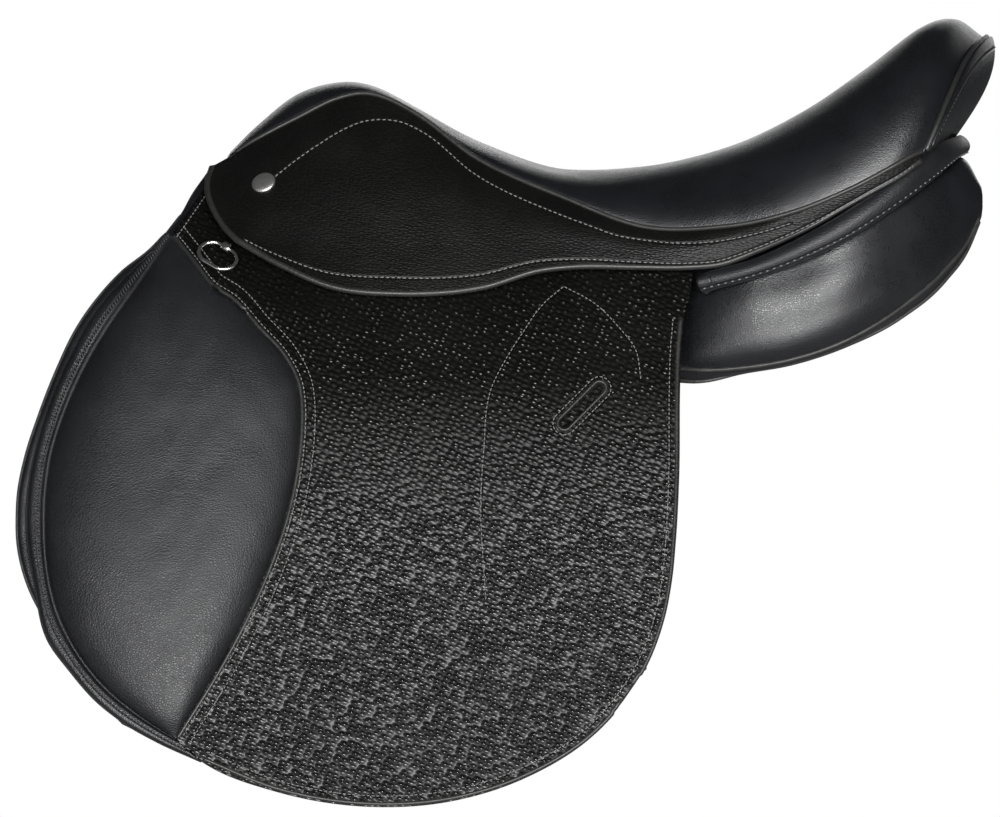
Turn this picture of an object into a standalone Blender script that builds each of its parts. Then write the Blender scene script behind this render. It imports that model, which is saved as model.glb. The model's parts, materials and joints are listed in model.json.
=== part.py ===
"""Pony jumping saddle with a sixteen inch seat, built as a saddler assembles it.

Metres, +Z up, +X to the cantle, -Y the near (left) side. The origin is on the middle plane
at the level of the panels' bearing line. Outlines are given in millimetres.
"""
import math

import bmesh
import bpy
import numpy as np
from mathutils import Matrix, Vector

MM = 0.001

# Leather, foam and web layers
CALF = 0.0018
FLAP_LEATHER = 0.0024
LINING = 0.0016
SKIRT_LEATHER = 0.0032
SWEAT_LEATHER = 0.0022
STRAP_LEATHER = 0.0034
WEB = 0.0014
WEB_HALF_WIDTH = 0.026
GAP = 0.0004
LAYER_GAP = 0.0005
HINGE_GAP = 0.0024
FOLD_GAP = 0.0011
SEAM_GAP = 0.0014
LINING_GAP = 0.0009
SKIRT_SWELL = 0.0024
SKIRT_FLAT_X = -0.17
SKIRT_EASE = 0.05
PAD_GAP = 0.0002
PAD_RIM = 0.0016

# Side of the saddle: half widths and flare of the flap
FOLD_Z = 0.050
FOLD_HALF_WIDTH = 0.102
FLAP_FLARE = 0.29
FLAP_CURL = 0.25
FOLD_SOFTNESS = 0.008
FRONT_CURL_X = -0.165
FLAP_HINGE_WIDTH = 0.112
SWEAT_EDGE_DROP = 0.0058
STRAP_ROOM = 0.0135
POINT_ROOM = 0.0120
POINT_EASE = (0.004, 0.022)
STRAP_EASE = (0.006, 0.070)
ROOM_CHANGE = (0.020, 0.040)
# Steepness of the flap above its fold, by x
FOLD_STEEPNESS = [(-0.28, 0.53), (-0.215, 0.58), (-0.18, 0.638), (-0.165, 0.64), (-0.085, 0.64),
                  (-0.068, 0.635), (-0.05, 0.50), (-0.01, 0.38), (0.02, 0.28), (0.06, 0.10)]

# Seat and tree under it
FOAM_POMMEL = 0.005
FOAM_WAIST = 0.0115
TREE_WALL = 0.006
WALL_TOP_Z = 0.100
IRON = 0.0022
IRON_X = -0.150
IRON_WIDTH = 0.026
IRON_LOW_Z = 0.094
IRON_TOP_Z = 0.132
IRON_RISE = 0.0052

# Cantle leather, its piping and the band under it
WELT_RADIUS = 0.0015
BACK_PUSH = 0.0064
BACK_LOW_X = 0.1962
BACK_LOW_Z = 0.1385
BACK_WRAP = 0.0165
BACK_DROP = 0.0075
BACK_BULGE = 0.0065
BAND = 0.0022
BAND_CROWN = 0.0012

# Stirrup bar
BAR_X = -0.118
BAR_Z = 0.0900
BAR_LENGTH = 0.058
BAR_WIDTH = 0.010
BAR_PLATE = 0.0028
BAR_GAP = 0.0063
BAR_THICKNESS = 0.0036
RIVET_RADIUS = 0.0022
RIVET_HEAD = 0.0042
RIVET_CLEARANCE = 0.0003
CATCH_LENGTH = 0.012
CATCH_WIDTH = 0.0052
CATCH_BACK = 0.0019
EAR_LENGTH = 0.0028
FORK_CLEARANCE = 0.0003
PIN_RADIUS = 0.0012

# Girth straps
STRAP_WIDTH = 0.025
STRAP_LENGTH = 0.175
STRAP_TOP_Z = 0.062
STRAP_TOP_WIDTH = 0.0830
STRAP_PITCH = 0.033
STRAP_MIDDLE_X = -0.010
STRAP_TIP = 0.016
STRAP_TIP_WIDTH = 0.008
HANG_Z = -0.066
HANG_FLARE = 0.32
GUARD_TOP_Z = 0.022
GUARD_LOW_Z = -0.062
GUARD_MARGIN = 0.004
FIRST_HOLE = 0.040
HOLE_RADIUS = 0.0027
HOLE_PITCH = 0.022
HOLES = 5

# Dee and stud
RING_LENGTH = 0.0235
RING_WIDTH = 0.0160
RING_WIRE = 0.00115
RING_LIFT = RING_WIRE + 0.0022
CLIP = 0.0009
CLIP_TAIL = 0.0040
CLIP_WIDTH = 0.0048
DEE_X = -0.2040
DEE_Z = 0.0745
STUD_RADIUS = 0.0068
STUD_HEIGHT = 0.0022
STUD_SEAT = 0.0009
STUD_X = -0.1860
STUD_Z = 0.1140

# Keeper slot in the flap
SLOT_LENGTH = 0.0335
SLOT_WIDTH = 0.0062
SLOT_X = -0.0105
SLOT_Z = -0.0090
SLOT_ANGLE = math.radians(45)
CUT_START = 0.08

# Seat stations, front to rear:
# centre x, crown z, dish, seam x, seam y, seam z, fullness of the section
SEAT_STATIONS = [
    (-205.0, 131.8, 0.0, -204.0, 25.0, 130.2, 2.0),
    (-190.0, 146.5, 0.0, -190.0, 30.5, 139.0, 2.2),
    (-168.0, 163.8, 0.0, -167.0, 34.0, 151.0, 2.3),
    (-145.0, 170.5, 0.0, -145.0, 37.0, 161.5, 2.4),
    (-125.0, 168.0, 0.0, -125.0, 41.0, 163.4, 2.4),
    (-100.0, 155.5, 0.0, -100.0, 49.0, 151.5, 2.4),
    (-66.0, 137.0, 0.0, -66.0, 62.0, 126.5, 2.4),
    (-22.0, 122.7, 0.0, -22.0, 78.0, 106.7, 2.5),
    (24.0, 123.8, 1.0, 24.0, 92.0, 89.7, 2.8),
    (70.0, 134.0, 3.0, 69.0, 104.0, 90.0, 3.1),
    (112.0, 153.5, 5.0, 104.0, 112.0, 97.3, 3.3),
    (148.0, 177.7, 6.0, 135.0, 115.5, 109.5, 3.3),
    (178.0, 200.3, 4.0, 158.0, 114.0, 121.5, 3.1),
    (197.0, 205.2, 1.0, 170.0, 110.0, 128.4, 2.8),
    (212.5, 195.5, 0.0, 177.0, 105.0, 131.5, 2.4),
]
FLAP_ROWS = 12
FLAP_GRADE = 1.6
SEAT_ROWS = 25
SEAT_COLUMNS = 15

# Outlines of the side pieces, millimetres in the side view (x, z)
FLAP_FRONT_TOP = [(-217.0, 119.0), (-226.5, 107.0), (-236.0, 91.0), (-240.5, 84.0),
                  (-258.0, 66.0), (-273.0, FOLD_Z / MM)]
FLAP_FRONT = [(-273.0, FOLD_Z / MM), (-293.5, 15.4), (-303.6, -8.8), (-310.0, -31.0),
              (-314.0, -52.0), (-315.2, -70.5), (-314.0, -88.6), (-310.5, -107.5),
              (-303.0, -138.0), (-291.0, -154.5), (-276.5, -171.0), (-261.5, -183.0)]
FLAP_BOTTOM = [(-261.5, -183.0), (-243.5, -193.2), (-218.0, -203.0), (-176.5, -219.0),
               (-125.0, -227.0), (-88.0, -225.0), (-43.0, -212.0), (-4.0, -188.0), (23.6, -152.5)]
FLAP_REAR = [(47.5, FOLD_Z / MM), (44.5, 39.0), (42.9, 20.4), (42.3, 1.1), (41.8, -49.5),
             (40.1, -83.0), (37.9, -105.5), (34.6, -123.0), (23.6, -152.5)]
FLAP_REAR_TOP = [(50.0, 62.0), (47.5, FOLD_Z / MM)]
PAD_SEAM_TOP = [(-235.5, 84.0), (-224.5, 70.4), (-213.5, 56.6), (-203.0, FOLD_Z / MM)]
PAD_SEAM = [(-203.0, FOLD_Z / MM), (-189.0, 34.5), (-174.0, 18.0), (-166.5, 2.7),
            (-165.0, -8.0), (-165.0, -22.0), (-170.5, -61.5), (-185.5, -106.0),
            (-207.0, -149.0), (-232.5, -190.5)]
PAD_FRONT_TOP = [(-237.0, 84.5), (-244.5, 73.0), (-260.0, FOLD_Z / MM)]
PAD_FRONT = [(-260.0, FOLD_Z / MM), (-268.5, 38.0), (-283.3, 13.2), (-294.3, -11.5),
             (-301.4, -33.5), (-304.7, -55.5), (-305.3, -76.5), (-304.2, -95.0),
             (-298.0, -122.0), (-287.0, -144.0), (-272.3, -162.3)]
PAD_FOOT = [(-272.3, -162.3), (-256.3, -176.0), (-241.5, -186.0), (-232.5, -190.5)]
SWEAT_FRONT = [(-240.3, 86.3), (-249.0, 77.0), (-264.0, 65.0), (-276.6, 51.0), (-288.2, 34.1),
               (-299.2, 11.0), (-309.1, -14.9), (-316.2, -37.4), (-320.1, -58.3),
               (-320.6, -70.4), (-320.0, -85.3), (-317.9, -96.3), (-311.9, -113.3),
               (-297.0, -136.0), (-280.0, -152.0)]
SWEAT_BOTTOM = [(-280.0, -152.0), (-240.0, -172.0), (-180.0, -188.0), (-110.0, -192.0),
                (-50.0, -178.0), (0.0, -140.0)]
SWEAT_REAR = [(30.0, 34.0), (28.0, 0.0), (25.0, -60.0), (17.0, -106.0), (0.0, -140.0)]
SWEAT_TOP = [(-240.3, 86.3), (-226.0, 62.0), (-196.0, 46.0), (-120.0, 38.0), (30.0, 34.0)]

# Height of the knee pad's crown, by level in metres
PAD_CROWN = [(-0.191, 0.0), (-0.182, 0.0045), (-0.160, 0.0105), (-0.120, 0.0155),
             (-0.040, 0.0165), (0.020, 0.0135), (0.050, 0.0085), (0.0845, 0.0)]

# Skirt edge and hinge, millimetres (x, half width, z)
HINGE_FRONT = (-215.6, 64.5, 108.0)
HINGE_REAR = (80.0, 107.0, 78.2)
SKIRT_FRONT = [HINGE_FRONT, (-214.0, 69.5, 102.0), (-208.5, 76.5, 92.0), (-199.6, 84.6, 83.0)]
SKIRT_EDGE = [(-199.6, 84.6, 83.0), (-175.5, 95.5, 69.3), (-147.4, 103.0, 57.2),
              (-110.0, 107.5, 53.4), (-66.0, 107.8, 56.7), (-32.0, 105.5, 66.5),
              (-15.0, 105.0, 68.2), (47.8, 107.3, 67.7), (66.5, 108.0, 69.3), (80.0, 108.5, 74.6)]
SKIRT_NOSE = [(-212.5, 44.0, 123.3), (-203.0, 28.5, 129.3)]
SKIRT_TAPER = [(82.5, 108.7, 76.0), (101.2, 110.8, 83.0), (117.2, 112.2, 90.8),
               (132.6, 113.6, 99.6), (150.0, 114.0, 109.5), (166.0, 111.0, 118.5),
               (176.5, 105.3, 126.3)]

# Band under the cantle, millimetres (x, half width, z), from its front end to the middle
BAND_TOP = [(52.0, 103.6, 63.3), (85.8, 108.5, 72.6), (117.2, 111.0, 87.8), (148.0, 108.5, 106.6),
            (172.0, 97.0, 123.6), (188.0, 78.0, 134.0), (196.5, 56.0, 139.0), (199.5, 28.0, 140.5),
            (200.5, 0.0, 141.0)]
BAND_BOTTOM = [(55.0, 103.8, 53.4), (70.4, 106.6, 57.0), (101.2, 110.5, 66.5),
               (132.6, 111.0, 80.3), (160.0, 104.0, 98.0), (181.0, 88.0, 113.5),
               (196.0, 60.0, 126.5), (200.0, 30.0, 129.0), (201.0, 0.0, 129.5)]

# Panel stations: x at level PANEL_REF_Z, forward lean, then half width and z of the corners
# channel top, outer top, outer middle, outer foot, inner foot, channel bottom
PANEL_REF_Z = 86.0
PANEL_STATIONS = [
    (-241.0, 0.76, (31, 97), (35, 96), (60, 64), (82, 31), (75, 22), (27, 88)),
    (-236.0, 0.76, (27, 104), (33, 102.5), (62, 64), (92, 22), (80, 8), (19, 93)),
    (-216.0, 0.74, (28, 106), (33.5, 103.5), (65.5, 63), (91, 14), (77, 0), (20, 94)),
    (-185.0, 0.60, (29, 106), (34, 102), (69, 60), (90, 8), (75, -6), (21, 92)),
    (-140.0, 0.40, (29, 104), (34, 98), (70, 56), (90, 4), (75, -10), (22, 88)),
    (-80.0, 0.15, (30, 94), (43, 85), (72, 47), (90, 2), (75, -12), (25, 76)),
    (-20.0, 0.0, (31, 86), (56, 77), (76, 45), (89, 4), (76, -9), (27, 62)),
    (37.0, 0.0, (31, 84), (69, 73), (79.5, 45), (87, 13), (76, 1), (28, 54)),
    (56.0, 0.0, (31, 86), (86, 70), (93.5, 43), (95, 15), (84, 3), (28, 52)),
    (78.0, 0.0, (31, 90), (98, 70), (103, 45), (102, 19), (91, 7), (28, 52)),
    (105.0, 0.0, (31, 95), (101.5, 76), (107, 50), (106, 23), (94, 12), (28, 53)),
    (135.0, 0.0, (31, 106), (104, 88), (108, 61), (105, 34), (93, 22), (28, 57)),
    (165.0, 0.0, (33, 118), (90, 106), (95, 78), (94, 50), (82, 38), (30, 62)),
    (190.0, 0.0, (36, 128), (70, 122), (77.5, 96), (78, 70), (68, 58), (34, 68)),
    (203.0, 0.0, (40, 126), (58, 124), (64.5, 105), (66, 86), (58, 76), (38, 78)),
    (209.5, 0.0, (46, 114), (53, 113), (56, 104.5), (56, 96), (52, 92), (46, 94)),
]
PANEL_ROUND = 16
PANEL_RINGS = (-241, -238.5, -232, -205, -175, -145, -115, -85, -55, -25, 5, 37, 48, 60, 76, 105, 128,
               148, 165, 178, 190, 199, 205, 209.5)
CHANNEL_DROP = 0.0029
CHANNEL_STATIONS = [(-182.0, 112.0), (-130.0, 109.5), (-70.0, 98.0), (-20.0, 91.5),
                    (40.0, 89.5), (100.0, 99.5), (150.0, 117.0), (186.0, 130.0)]


def clear_scene():
    """Remove the objects that the scene starts with."""
    for item in list(bpy.data.objects):
        bpy.data.objects.remove(item, do_unlink=True)


def new_collection(name):
    """Make a collection in the scene."""
    collection = bpy.data.collections.new(name)
    bpy.context.scene.collection.children.link(collection)
    return collection


def finish(name, colour, roughness, metallic=0.0):
    """Make one plain Principled material."""
    material = bpy.data.materials.new(name)
    material.use_nodes = True
    shader = material.node_tree.nodes["Principled BSDF"]
    shader.inputs["Base Color"].default_value = (*colour, 1.0)
    shader.inputs["Roughness"].default_value = roughness
    shader.inputs["Metallic"].default_value = metallic
    return material


clear_scene()
PARTS = new_collection("pony_saddle")
CUTTERS = new_collection("cutters")
SMOOTH_CALF = finish("smooth_calf", (0.022, 0.022, 0.024), 0.42)
PRINTED_LEATHER = finish("printed_leather", (0.030, 0.029, 0.027), 0.55)
LINING_CALF = finish("lining_calf", (0.026, 0.026, 0.027), 0.5)
STRAP_HIDE = finish("strap_hide", (0.020, 0.019, 0.018), 0.5)
TREE_PLASTIC = finish("tree_plastic", (0.05, 0.05, 0.05), 0.5)
WEBBING = finish("webbing", (0.55, 0.52, 0.44), 0.9)
FOAM = finish("foam", (0.62, 0.60, 0.52), 0.9)
BRIGHT_NICKEL = finish("bright_nickel", (0.80, 0.80, 0.79), 0.16, 1.0)
FORGED_STEEL = finish("forged_steel", (0.42, 0.42, 0.42), 0.38, 1.0)


def hermite(knots, values, at):
    """Smooth curve through values at rising knots, for one or many places."""
    knots = np.asarray(knots, float)
    values = np.asarray(values, float)
    at = np.clip(np.asarray(at, float), knots[0], knots[-1])
    slopes = np.gradient(values, knots, axis=0)
    i = np.clip(np.searchsorted(knots, at, side="right") - 1, 0, len(knots) - 2)
    step = knots[i + 1] - knots[i]
    s = (at - knots[i]) / step
    if values.ndim > 1:
        s = s[..., None]
        step = step[..., None]
    start = (1 + 2 * s) * (1 - s) ** 2 * values[i] + s * (1 - s) ** 2 * step * slopes[i]
    return start + s * s * (3 - 2 * s) * values[i + 1] + s * s * (s - 1) * step * slopes[i + 1]


def along(points, count, grade=1.0):
    """Points on a smooth curve through the given points, in metres; a grade above 1 crowds
    them towards the start."""
    points = np.asarray(points, float) * MM
    spans = np.linalg.norm(np.diff(points, axis=0), axis=1)
    knots = np.r_[0.0, np.cumsum(spans)]
    return hermite(knots, points, np.linspace(0.0, 1.0, count) ** grade * knots[-1])


def coons(top, bottom, front, rear):
    """Grid that fills four boundary rows; front and rear run from the top to the bottom."""
    u = np.linspace(0, 1, len(top))[None, :, None]
    v = np.linspace(0, 1, len(front))[:, None, None]
    edges = (1 - v) * top[None] + v * bottom[None] + (1 - u) * front[:, None] + u * rear[:, None]
    corners = ((1 - u) * (1 - v) * top[0] + u * (1 - v) * top[-1]
               + (1 - u) * v * bottom[0] + u * v * bottom[-1])
    return edges - corners


def smoothstep(x):
    """Ease from 0 to 1."""
    x = np.clip(x, 0.0, 1.0)
    return x * x * (3 - 2 * x)


def softplus(x, softness):
    """Rounded corner between 0 and x."""
    return softness * np.logaddexp(0.0, x / softness)


def flap_width(x, z):
    """Half width of the flap's outer face."""
    knots, values = zip(*FOLD_STEEPNESS)
    steepness = hermite(knots, values, x)
    curl = FLAP_CURL * np.maximum(FRONT_CURL_X - x, 0.0) ** 2
    flare = FLAP_FLARE * (FOLD_Z - z)
    return FOLD_HALF_WIDTH + flare - steepness * softplus(z - FOLD_Z, FOLD_SOFTNESS) - curl


def sweat_edge_x(z):
    """Place of the sweat flap's front edge at a height."""
    edge = np.array(SWEAT_FRONT[::-1]) * MM
    return np.interp(z, edge[:, 1], edge[:, 0])


def sweat_width(x, z):
    """Half width of the sweat flap's outer face, close to the flap in front only."""
    beside = x - sweat_edge_x(z)
    near_point = smoothstep((beside - POINT_EASE[0]) / POINT_EASE[1])
    inset = smoothstep((beside - STRAP_EASE[0]) / STRAP_EASE[1])
    below = smoothstep((FOLD_Z + ROOM_CHANGE[0] - z) / ROOM_CHANGE[1])
    spare = SWEAT_EDGE_DROP + POINT_ROOM * (1 - below) * near_point + STRAP_ROOM * below * inset
    return flap_width(x, z) - spare


def mesh_object(name, points, faces, material, smooth=True):
    """Make a mesh object from points and faces."""
    mesh = bpy.data.meshes.new(name)
    mesh.from_pydata([tuple(p) for p in points], [], faces)
    mesh.update()
    item = bpy.data.objects.new(name, mesh)
    item.data.materials.append(material)
    PARTS.objects.link(item)
    if smooth:
        mesh.shade_smooth()
    return item


def grid_faces(rows, columns, flip):
    """Quads of a grid of points."""
    faces = []
    for j in range(rows - 1):
        for i in range(columns - 1):
            a = j * columns + i
            quad = (a, a + 1, a + columns + 1, a + columns)
            faces.append(quad[::-1] if flip else quad)
    return faces


def solidify(item, thickness, offset=-1.0):
    """Give an open surface its thickness, away from its face side."""
    modifier = item.modifiers.new("thickness", "SOLIDIFY")
    modifier.thickness = thickness
    modifier.offset = offset
    modifier.use_even_offset = True
    return modifier


def sheet(name, grid, thickness, material, side):
    """Leather sheet from a grid of (x, half width, z) points, its face to the outside."""
    rows, columns = grid.shape[:2]
    points = grid.reshape(-1, 3) * np.array([1.0, side, 1.0])
    item = mesh_object(name, points, grid_faces(rows, columns, side < 0), material)
    solidify(item, thickness)
    return item


def on_width(flat, width, drop=0.0):
    """Lift a grid of (x, z) points onto a width function, drop metres inward."""
    x, z = flat[..., 0], flat[..., 1]
    return np.stack([x, width(x, z) - drop, z], axis=-1)


def evaluated_copy(item):
    """Object with the item's modifiers applied, welded, in the item's place."""
    bpy.context.view_layer.update()
    graph = bpy.context.evaluated_depsgraph_get()
    mesh = bpy.data.meshes.new_from_object(item.evaluated_get(graph))
    builder = bmesh.new()
    builder.from_mesh(mesh)
    bmesh.ops.remove_doubles(builder, verts=builder.verts, dist=0.00001)
    builder.normal_update()
    bmesh.ops.recalc_face_normals(builder, faces=builder.faces)
    builder.to_mesh(mesh)
    builder.free()
    made = bpy.data.objects.new(item.name, mesh)
    made.matrix_world = item.matrix_world
    return made


def as_cutter(item):
    """Hide an object away among the cutters."""
    for collection in list(item.users_collection):
        collection.objects.unlink(item)
    CUTTERS.objects.link(item)
    item.hide_render = True
    item.display_type = "WIRE"
    return item


def boolean(item, other, operation):
    """Cut or join one mesh with another by an exact Boolean."""
    modifier = item.modifiers.new(operation.lower(), "BOOLEAN")
    modifier.object = other
    modifier.operation = operation
    modifier.solver = "EXACT"
    return modifier


def extruded(name, ring, push):
    """Solid made by pushing a flat ring of points along a vector."""
    builder = bmesh.new()
    face = builder.faces.new([builder.verts.new(point) for point in ring])
    pushed = bmesh.ops.extrude_face_region(builder, geom=[face])
    moved = [v for v in pushed["geom"] if isinstance(v, bmesh.types.BMVert)]
    bmesh.ops.translate(builder, verts=moved, vec=push)
    builder.normal_update()
    bmesh.ops.recalc_face_normals(builder, faces=builder.faces)
    mesh = bpy.data.meshes.new(name)
    builder.to_mesh(mesh)
    builder.free()
    return bpy.data.objects.new(name, mesh)


def closed_loft(name, rings, material):
    """Closed solid through rings of equal point counts, with flat ends."""
    count = len(rings[0])
    points = np.concatenate(rings)
    faces = []
    for j in range(len(rings) - 1):
        for i in range(count):
            a, b = j * count + i, j * count + (i + 1) % count
            faces.append((a, b, b + count, a + count))
    faces.append(tuple(range(count))[::-1])
    last = (len(rings) - 1) * count
    faces.append(tuple(range(last, last + count)))
    item = mesh_object(name, points, faces, material)
    builder = bmesh.new()
    builder.from_mesh(item.data)
    builder.normal_update()
    bmesh.ops.recalc_face_normals(builder, faces=builder.faces)
    builder.to_mesh(item.data)
    builder.free()
    return item


# Seat


def seat_station(place):
    """Values of the seat station at a place from 0 (nose) to 1 (cantle)."""
    table = np.array(SEAT_STATIONS)
    knots = np.linspace(0, 1, len(table))
    values = hermite(knots, table, np.array([place]))[0]
    return values * np.array([MM, MM, MM, MM, MM, MM, 1.0])


def seat_row(place, columns):
    """Cross-section of the seat's outer face from the left seam to the right seam."""
    x_centre, crown, dish, x_seam, y_seam, z_seam, full = seat_station(place)
    angle = np.linspace(-0.5, 0.5, columns) * math.pi
    side = np.sign(angle) * np.abs(np.sin(angle)) ** (2 / full)
    height = np.abs(np.cos(angle)) ** (2 / 1.8)
    height[0] = height[-1] = 0.0
    hollow = dish * np.where(np.abs(side) < 0.6, (1 - (side / 0.6) ** 2) ** 2, 0.0)
    rise = crown - z_seam
    level = rise * height - hollow
    level = level + (rise - level.max()) * height
    lean = 0.77 * height + 0.23 * height ** 8
    x = x_seam + (x_centre - x_seam) * lean
    return np.stack([x, y_seam * side, z_seam + level], axis=-1)


def seat_grid(rows=SEAT_ROWS, columns=SEAT_COLUMNS, start=0.0, end=1.0):
    """Grid of points on the seat's outer face."""
    return np.array([seat_row(place, columns) for place in np.linspace(start, end, rows)])


def grid_normals(grid):
    """Outward unit normals of the seat grid."""
    along_rows = np.gradient(grid, axis=0)
    along_columns = np.gradient(grid, axis=1)
    normals = np.cross(along_rows, along_columns)
    return normals / np.linalg.norm(normals, axis=-1, keepdims=True)


def foam_depth(rows):
    """Depth of the foam's underside below the seat's face, row by row."""
    place = np.linspace(0, 1, rows)
    thick = hermite([0.0, 0.25, 0.45, 0.8, 1.0],
                    [FOAM_POMMEL, FOAM_POMMEL, FOAM_WAIST, FOAM_WAIST, 0.008], place)
    return (CALF + LAYER_GAP + thick)[:, None, None]


def seat_cover():
    """Smooth calf over the foam."""
    grid = seat_grid()
    flipped = grid[:, ::-1]
    item = mesh_object("seat_cover", flipped.reshape(-1, 3),
                       grid_faces(SEAT_ROWS, SEAT_COLUMNS, False), SMOOTH_CALF)
    solidify(item, CALF)


def seat_foam():
    """Foam between the cover and the webs, thinner towards its edges."""
    grid = seat_grid()
    normals = grid_normals(grid)
    keep = slice(2, SEAT_COLUMNS - 2)
    rows = slice(1, SEAT_ROWS - 1)
    top = (grid - normals * (CALF + 2 * LAYER_GAP))[rows, keep]
    bottom = (grid - normals * foam_depth(SEAT_ROWS))[rows, keep]
    rings = [np.concatenate([upper, lower[::-1]]) for upper, lower in zip(top, bottom)]
    closed_loft("seat_foam", rings, FOAM)


def tree_depth(rows):
    """Depth of the tree's top below the seat's face."""
    return foam_depth(rows) + 3 * LAYER_GAP + WEB


def seat_layer(depth):
    """Grid of points at a depth below the seat's face."""
    grid = seat_grid()
    return grid - grid_normals(grid) * depth


def layer_cut(layer, x):
    """Section of a layer at a place along it."""
    cut = []
    for column in range(layer.shape[1]):
        line = layer[:, column]
        cut.append([np.interp(x, line[:, 0], line[:, i]) for i in range(3)])
    return np.array(cut)


def across_row(row, widths):
    """Points of one row of a layer at given half widths, on its facets."""
    return np.stack([np.interp(widths, row[:, 1], row[:, i]) for i in range(3)], -1)


def wall_width(x, z):
    """Half width of the tree wall's outer face, which leans in to meet the head."""
    low = np.minimum(z, WALL_TOP_Z)
    width = flap_width(x, low) - FLAP_LEATHER - 2 * LAYER_GAP - 0.0032
    grid = seat_grid(61, 5)
    seam_y = np.interp(x, grid[:, 4, 0], grid[:, 4, 1])
    head_z = np.interp(x, grid[:, 2, 0], grid[:, 2, 2]) - 0.014
    share = np.clip((z - WALL_TOP_Z) / np.maximum(head_z - WALL_TOP_Z, 0.01), 0.0, 1.2)
    return width + share * (0.74 * seam_y - width)


def tree_wall(side):
    """Side wall of the head with the point that runs down behind the flap."""
    top = along([(-189.0, 131.0), (-174.0, 143.0), (-150.0, 154.0), (-120.0, 149.0),
                 (-72.0, 121.0)], 11)
    bottom = along([(-234.0, 61.0), (-224.0, 57.5), (-213.0, 61.0), (-196.0, 74.0),
                    (-150.0, 76.0), (-112.0, 78.0), (-72.0, 86.0)], 11)
    front = along([(-189.0, 131.0), (-198.0, 120.0), (-212.5, 98.0), (-224.5, 79.0),
                   (-234.0, 61.0)], 8)
    rear = along([(-72.0, 121.0), (-72.0, 86.0)], 8)
    flat = coons(top, bottom, front, rear)
    grid = on_width(flat, wall_width)
    return sheet(f"tree_wall_{side}", grid, TREE_WALL, TREE_PLASTIC, side)


def tree():
    """Moulded tree: head, rails and cantle round an open centre, with a wall each side."""
    layer = seat_layer(tree_depth(SEAT_ROWS))[2:SEAT_ROWS - 3]
    inner = layer[:, 2:SEAT_COLUMNS - 2][:, ::-1]
    rows, count = inner.shape[:2]
    faces = []
    for j in range(rows - 1):
        for i in range(count - 1):
            opening = 7 <= j <= 16 and 3 <= i <= count - 5
            if not opening:
                a = j * count + i
                faces.append((a, a + 1, a + count + 1, a + count))
    item = mesh_object("tree", inner.reshape(-1, 3), faces, TREE_PLASTIC)
    loose = bmesh.new()
    loose.from_mesh(item.data)
    bmesh.ops.delete(loose, geom=[v for v in loose.verts if not v.link_faces], context="VERTS")
    loose.to_mesh(item.data)
    loose.free()
    solidify(item, TREE_WALL).use_even_offset = False
    for side in (-1, 1):
        wall = tree_wall(side)
        solid = evaluated_copy(wall)
        bpy.data.objects.remove(wall)
        CUTTERS.objects.link(solid)
        as_cutter(solid)
        boolean(item, solid, "UNION")
    for side in (-1, 1):
        for place_x in rivet_places():
            boolean(item, rivet_bore(side, place_x), "DIFFERENCE")


def straining_web():
    """Web stretched over the open centre from the head to the cantle."""
    layer = seat_layer(foam_depth(SEAT_ROWS) + LAYER_GAP)[5:SEAT_ROWS - 4]
    widths = np.linspace(WEB_HALF_WIDTH, -WEB_HALF_WIDTH, 5)
    grid = np.array([across_row(row, widths) for row in layer])
    item = mesh_object("straining_web", grid.reshape(-1, 3),
                       grid_faces(grid.shape[0], grid.shape[1], False), WEBBING)
    solidify(item, WEB)


# Side pieces


def flap_pieces(side, label):
    """Printed leather flap and its lining, each below the fold, and the fixed top of the flap."""
    gap = GAP / MM
    flap_front = [(x, z - gap if z == FOLD_Z / MM else z) for x, z in PAD_SEAM]
    flap_rear = [(x, z - gap if z == FOLD_Z / MM else z) for x, z in FLAP_REAR]
    bottom_points = [(-232.5, -190.5), (-218.0, -202.5)] + FLAP_BOTTOM[3:]
    columns = 12
    flat = coons(along([flap_front[0], flap_rear[0]], columns), along(bottom_points, columns),
                 along(flap_front, FLAP_ROWS, FLAP_GRADE), along(flap_rear, FLAP_ROWS, FLAP_GRADE))
    flap = sheet(f"flap_{label}", on_width(flat, flap_width), FLAP_LEATHER, PRINTED_LEATHER, side)
    boolean(flap, keeper_cutter(side), "DIFFERENCE")
    front = [(x, z - gap if z == FOLD_Z / MM else z) for x, z in FLAP_FRONT]
    flat = coons(along([front[0], flap_rear[0]], columns), along(FLAP_BOTTOM, columns),
                 along(front, FLAP_ROWS, FLAP_GRADE), along(flap_rear, FLAP_ROWS, FLAP_GRADE))
    drop = FLAP_LEATHER + LINING_GAP
    lining = sheet(f"flap_lining_{label}", on_width(flat, flap_width, drop), LINING,
                   LINING_CALF, side)
    boolean(lining, keeper_cutter(side), "DIFFERENCE")
    top = along([(-217.0, 119.0), (-206.0, 113.5), (-190.0, 103.5), (-165.0, 99.5),
                 (-100.0, 97.5), (-80.0, 91.5), (-62.0, 80.0), (-30.0, 75.0), (50.0, 70.0)], columns)
    fold_z = (FOLD_Z + FOLD_GAP) / MM
    flat = coons(top, along([(-272.0, fold_z), (47.7, fold_z)], columns),
                 along(FLAP_FRONT_TOP[:-1] + [(-272.0, fold_z)], 7),
                 along([(50.0, 70.0), (50.0, 62.0), (47.7, fold_z)], 7))
    fixed = sheet(f"flap_top_{label}", on_width(flat, flap_width), FLAP_LEATHER,
                  PRINTED_LEATHER, side)
    boolean(fixed, bar_window(side), "DIFFERENCE")


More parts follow.
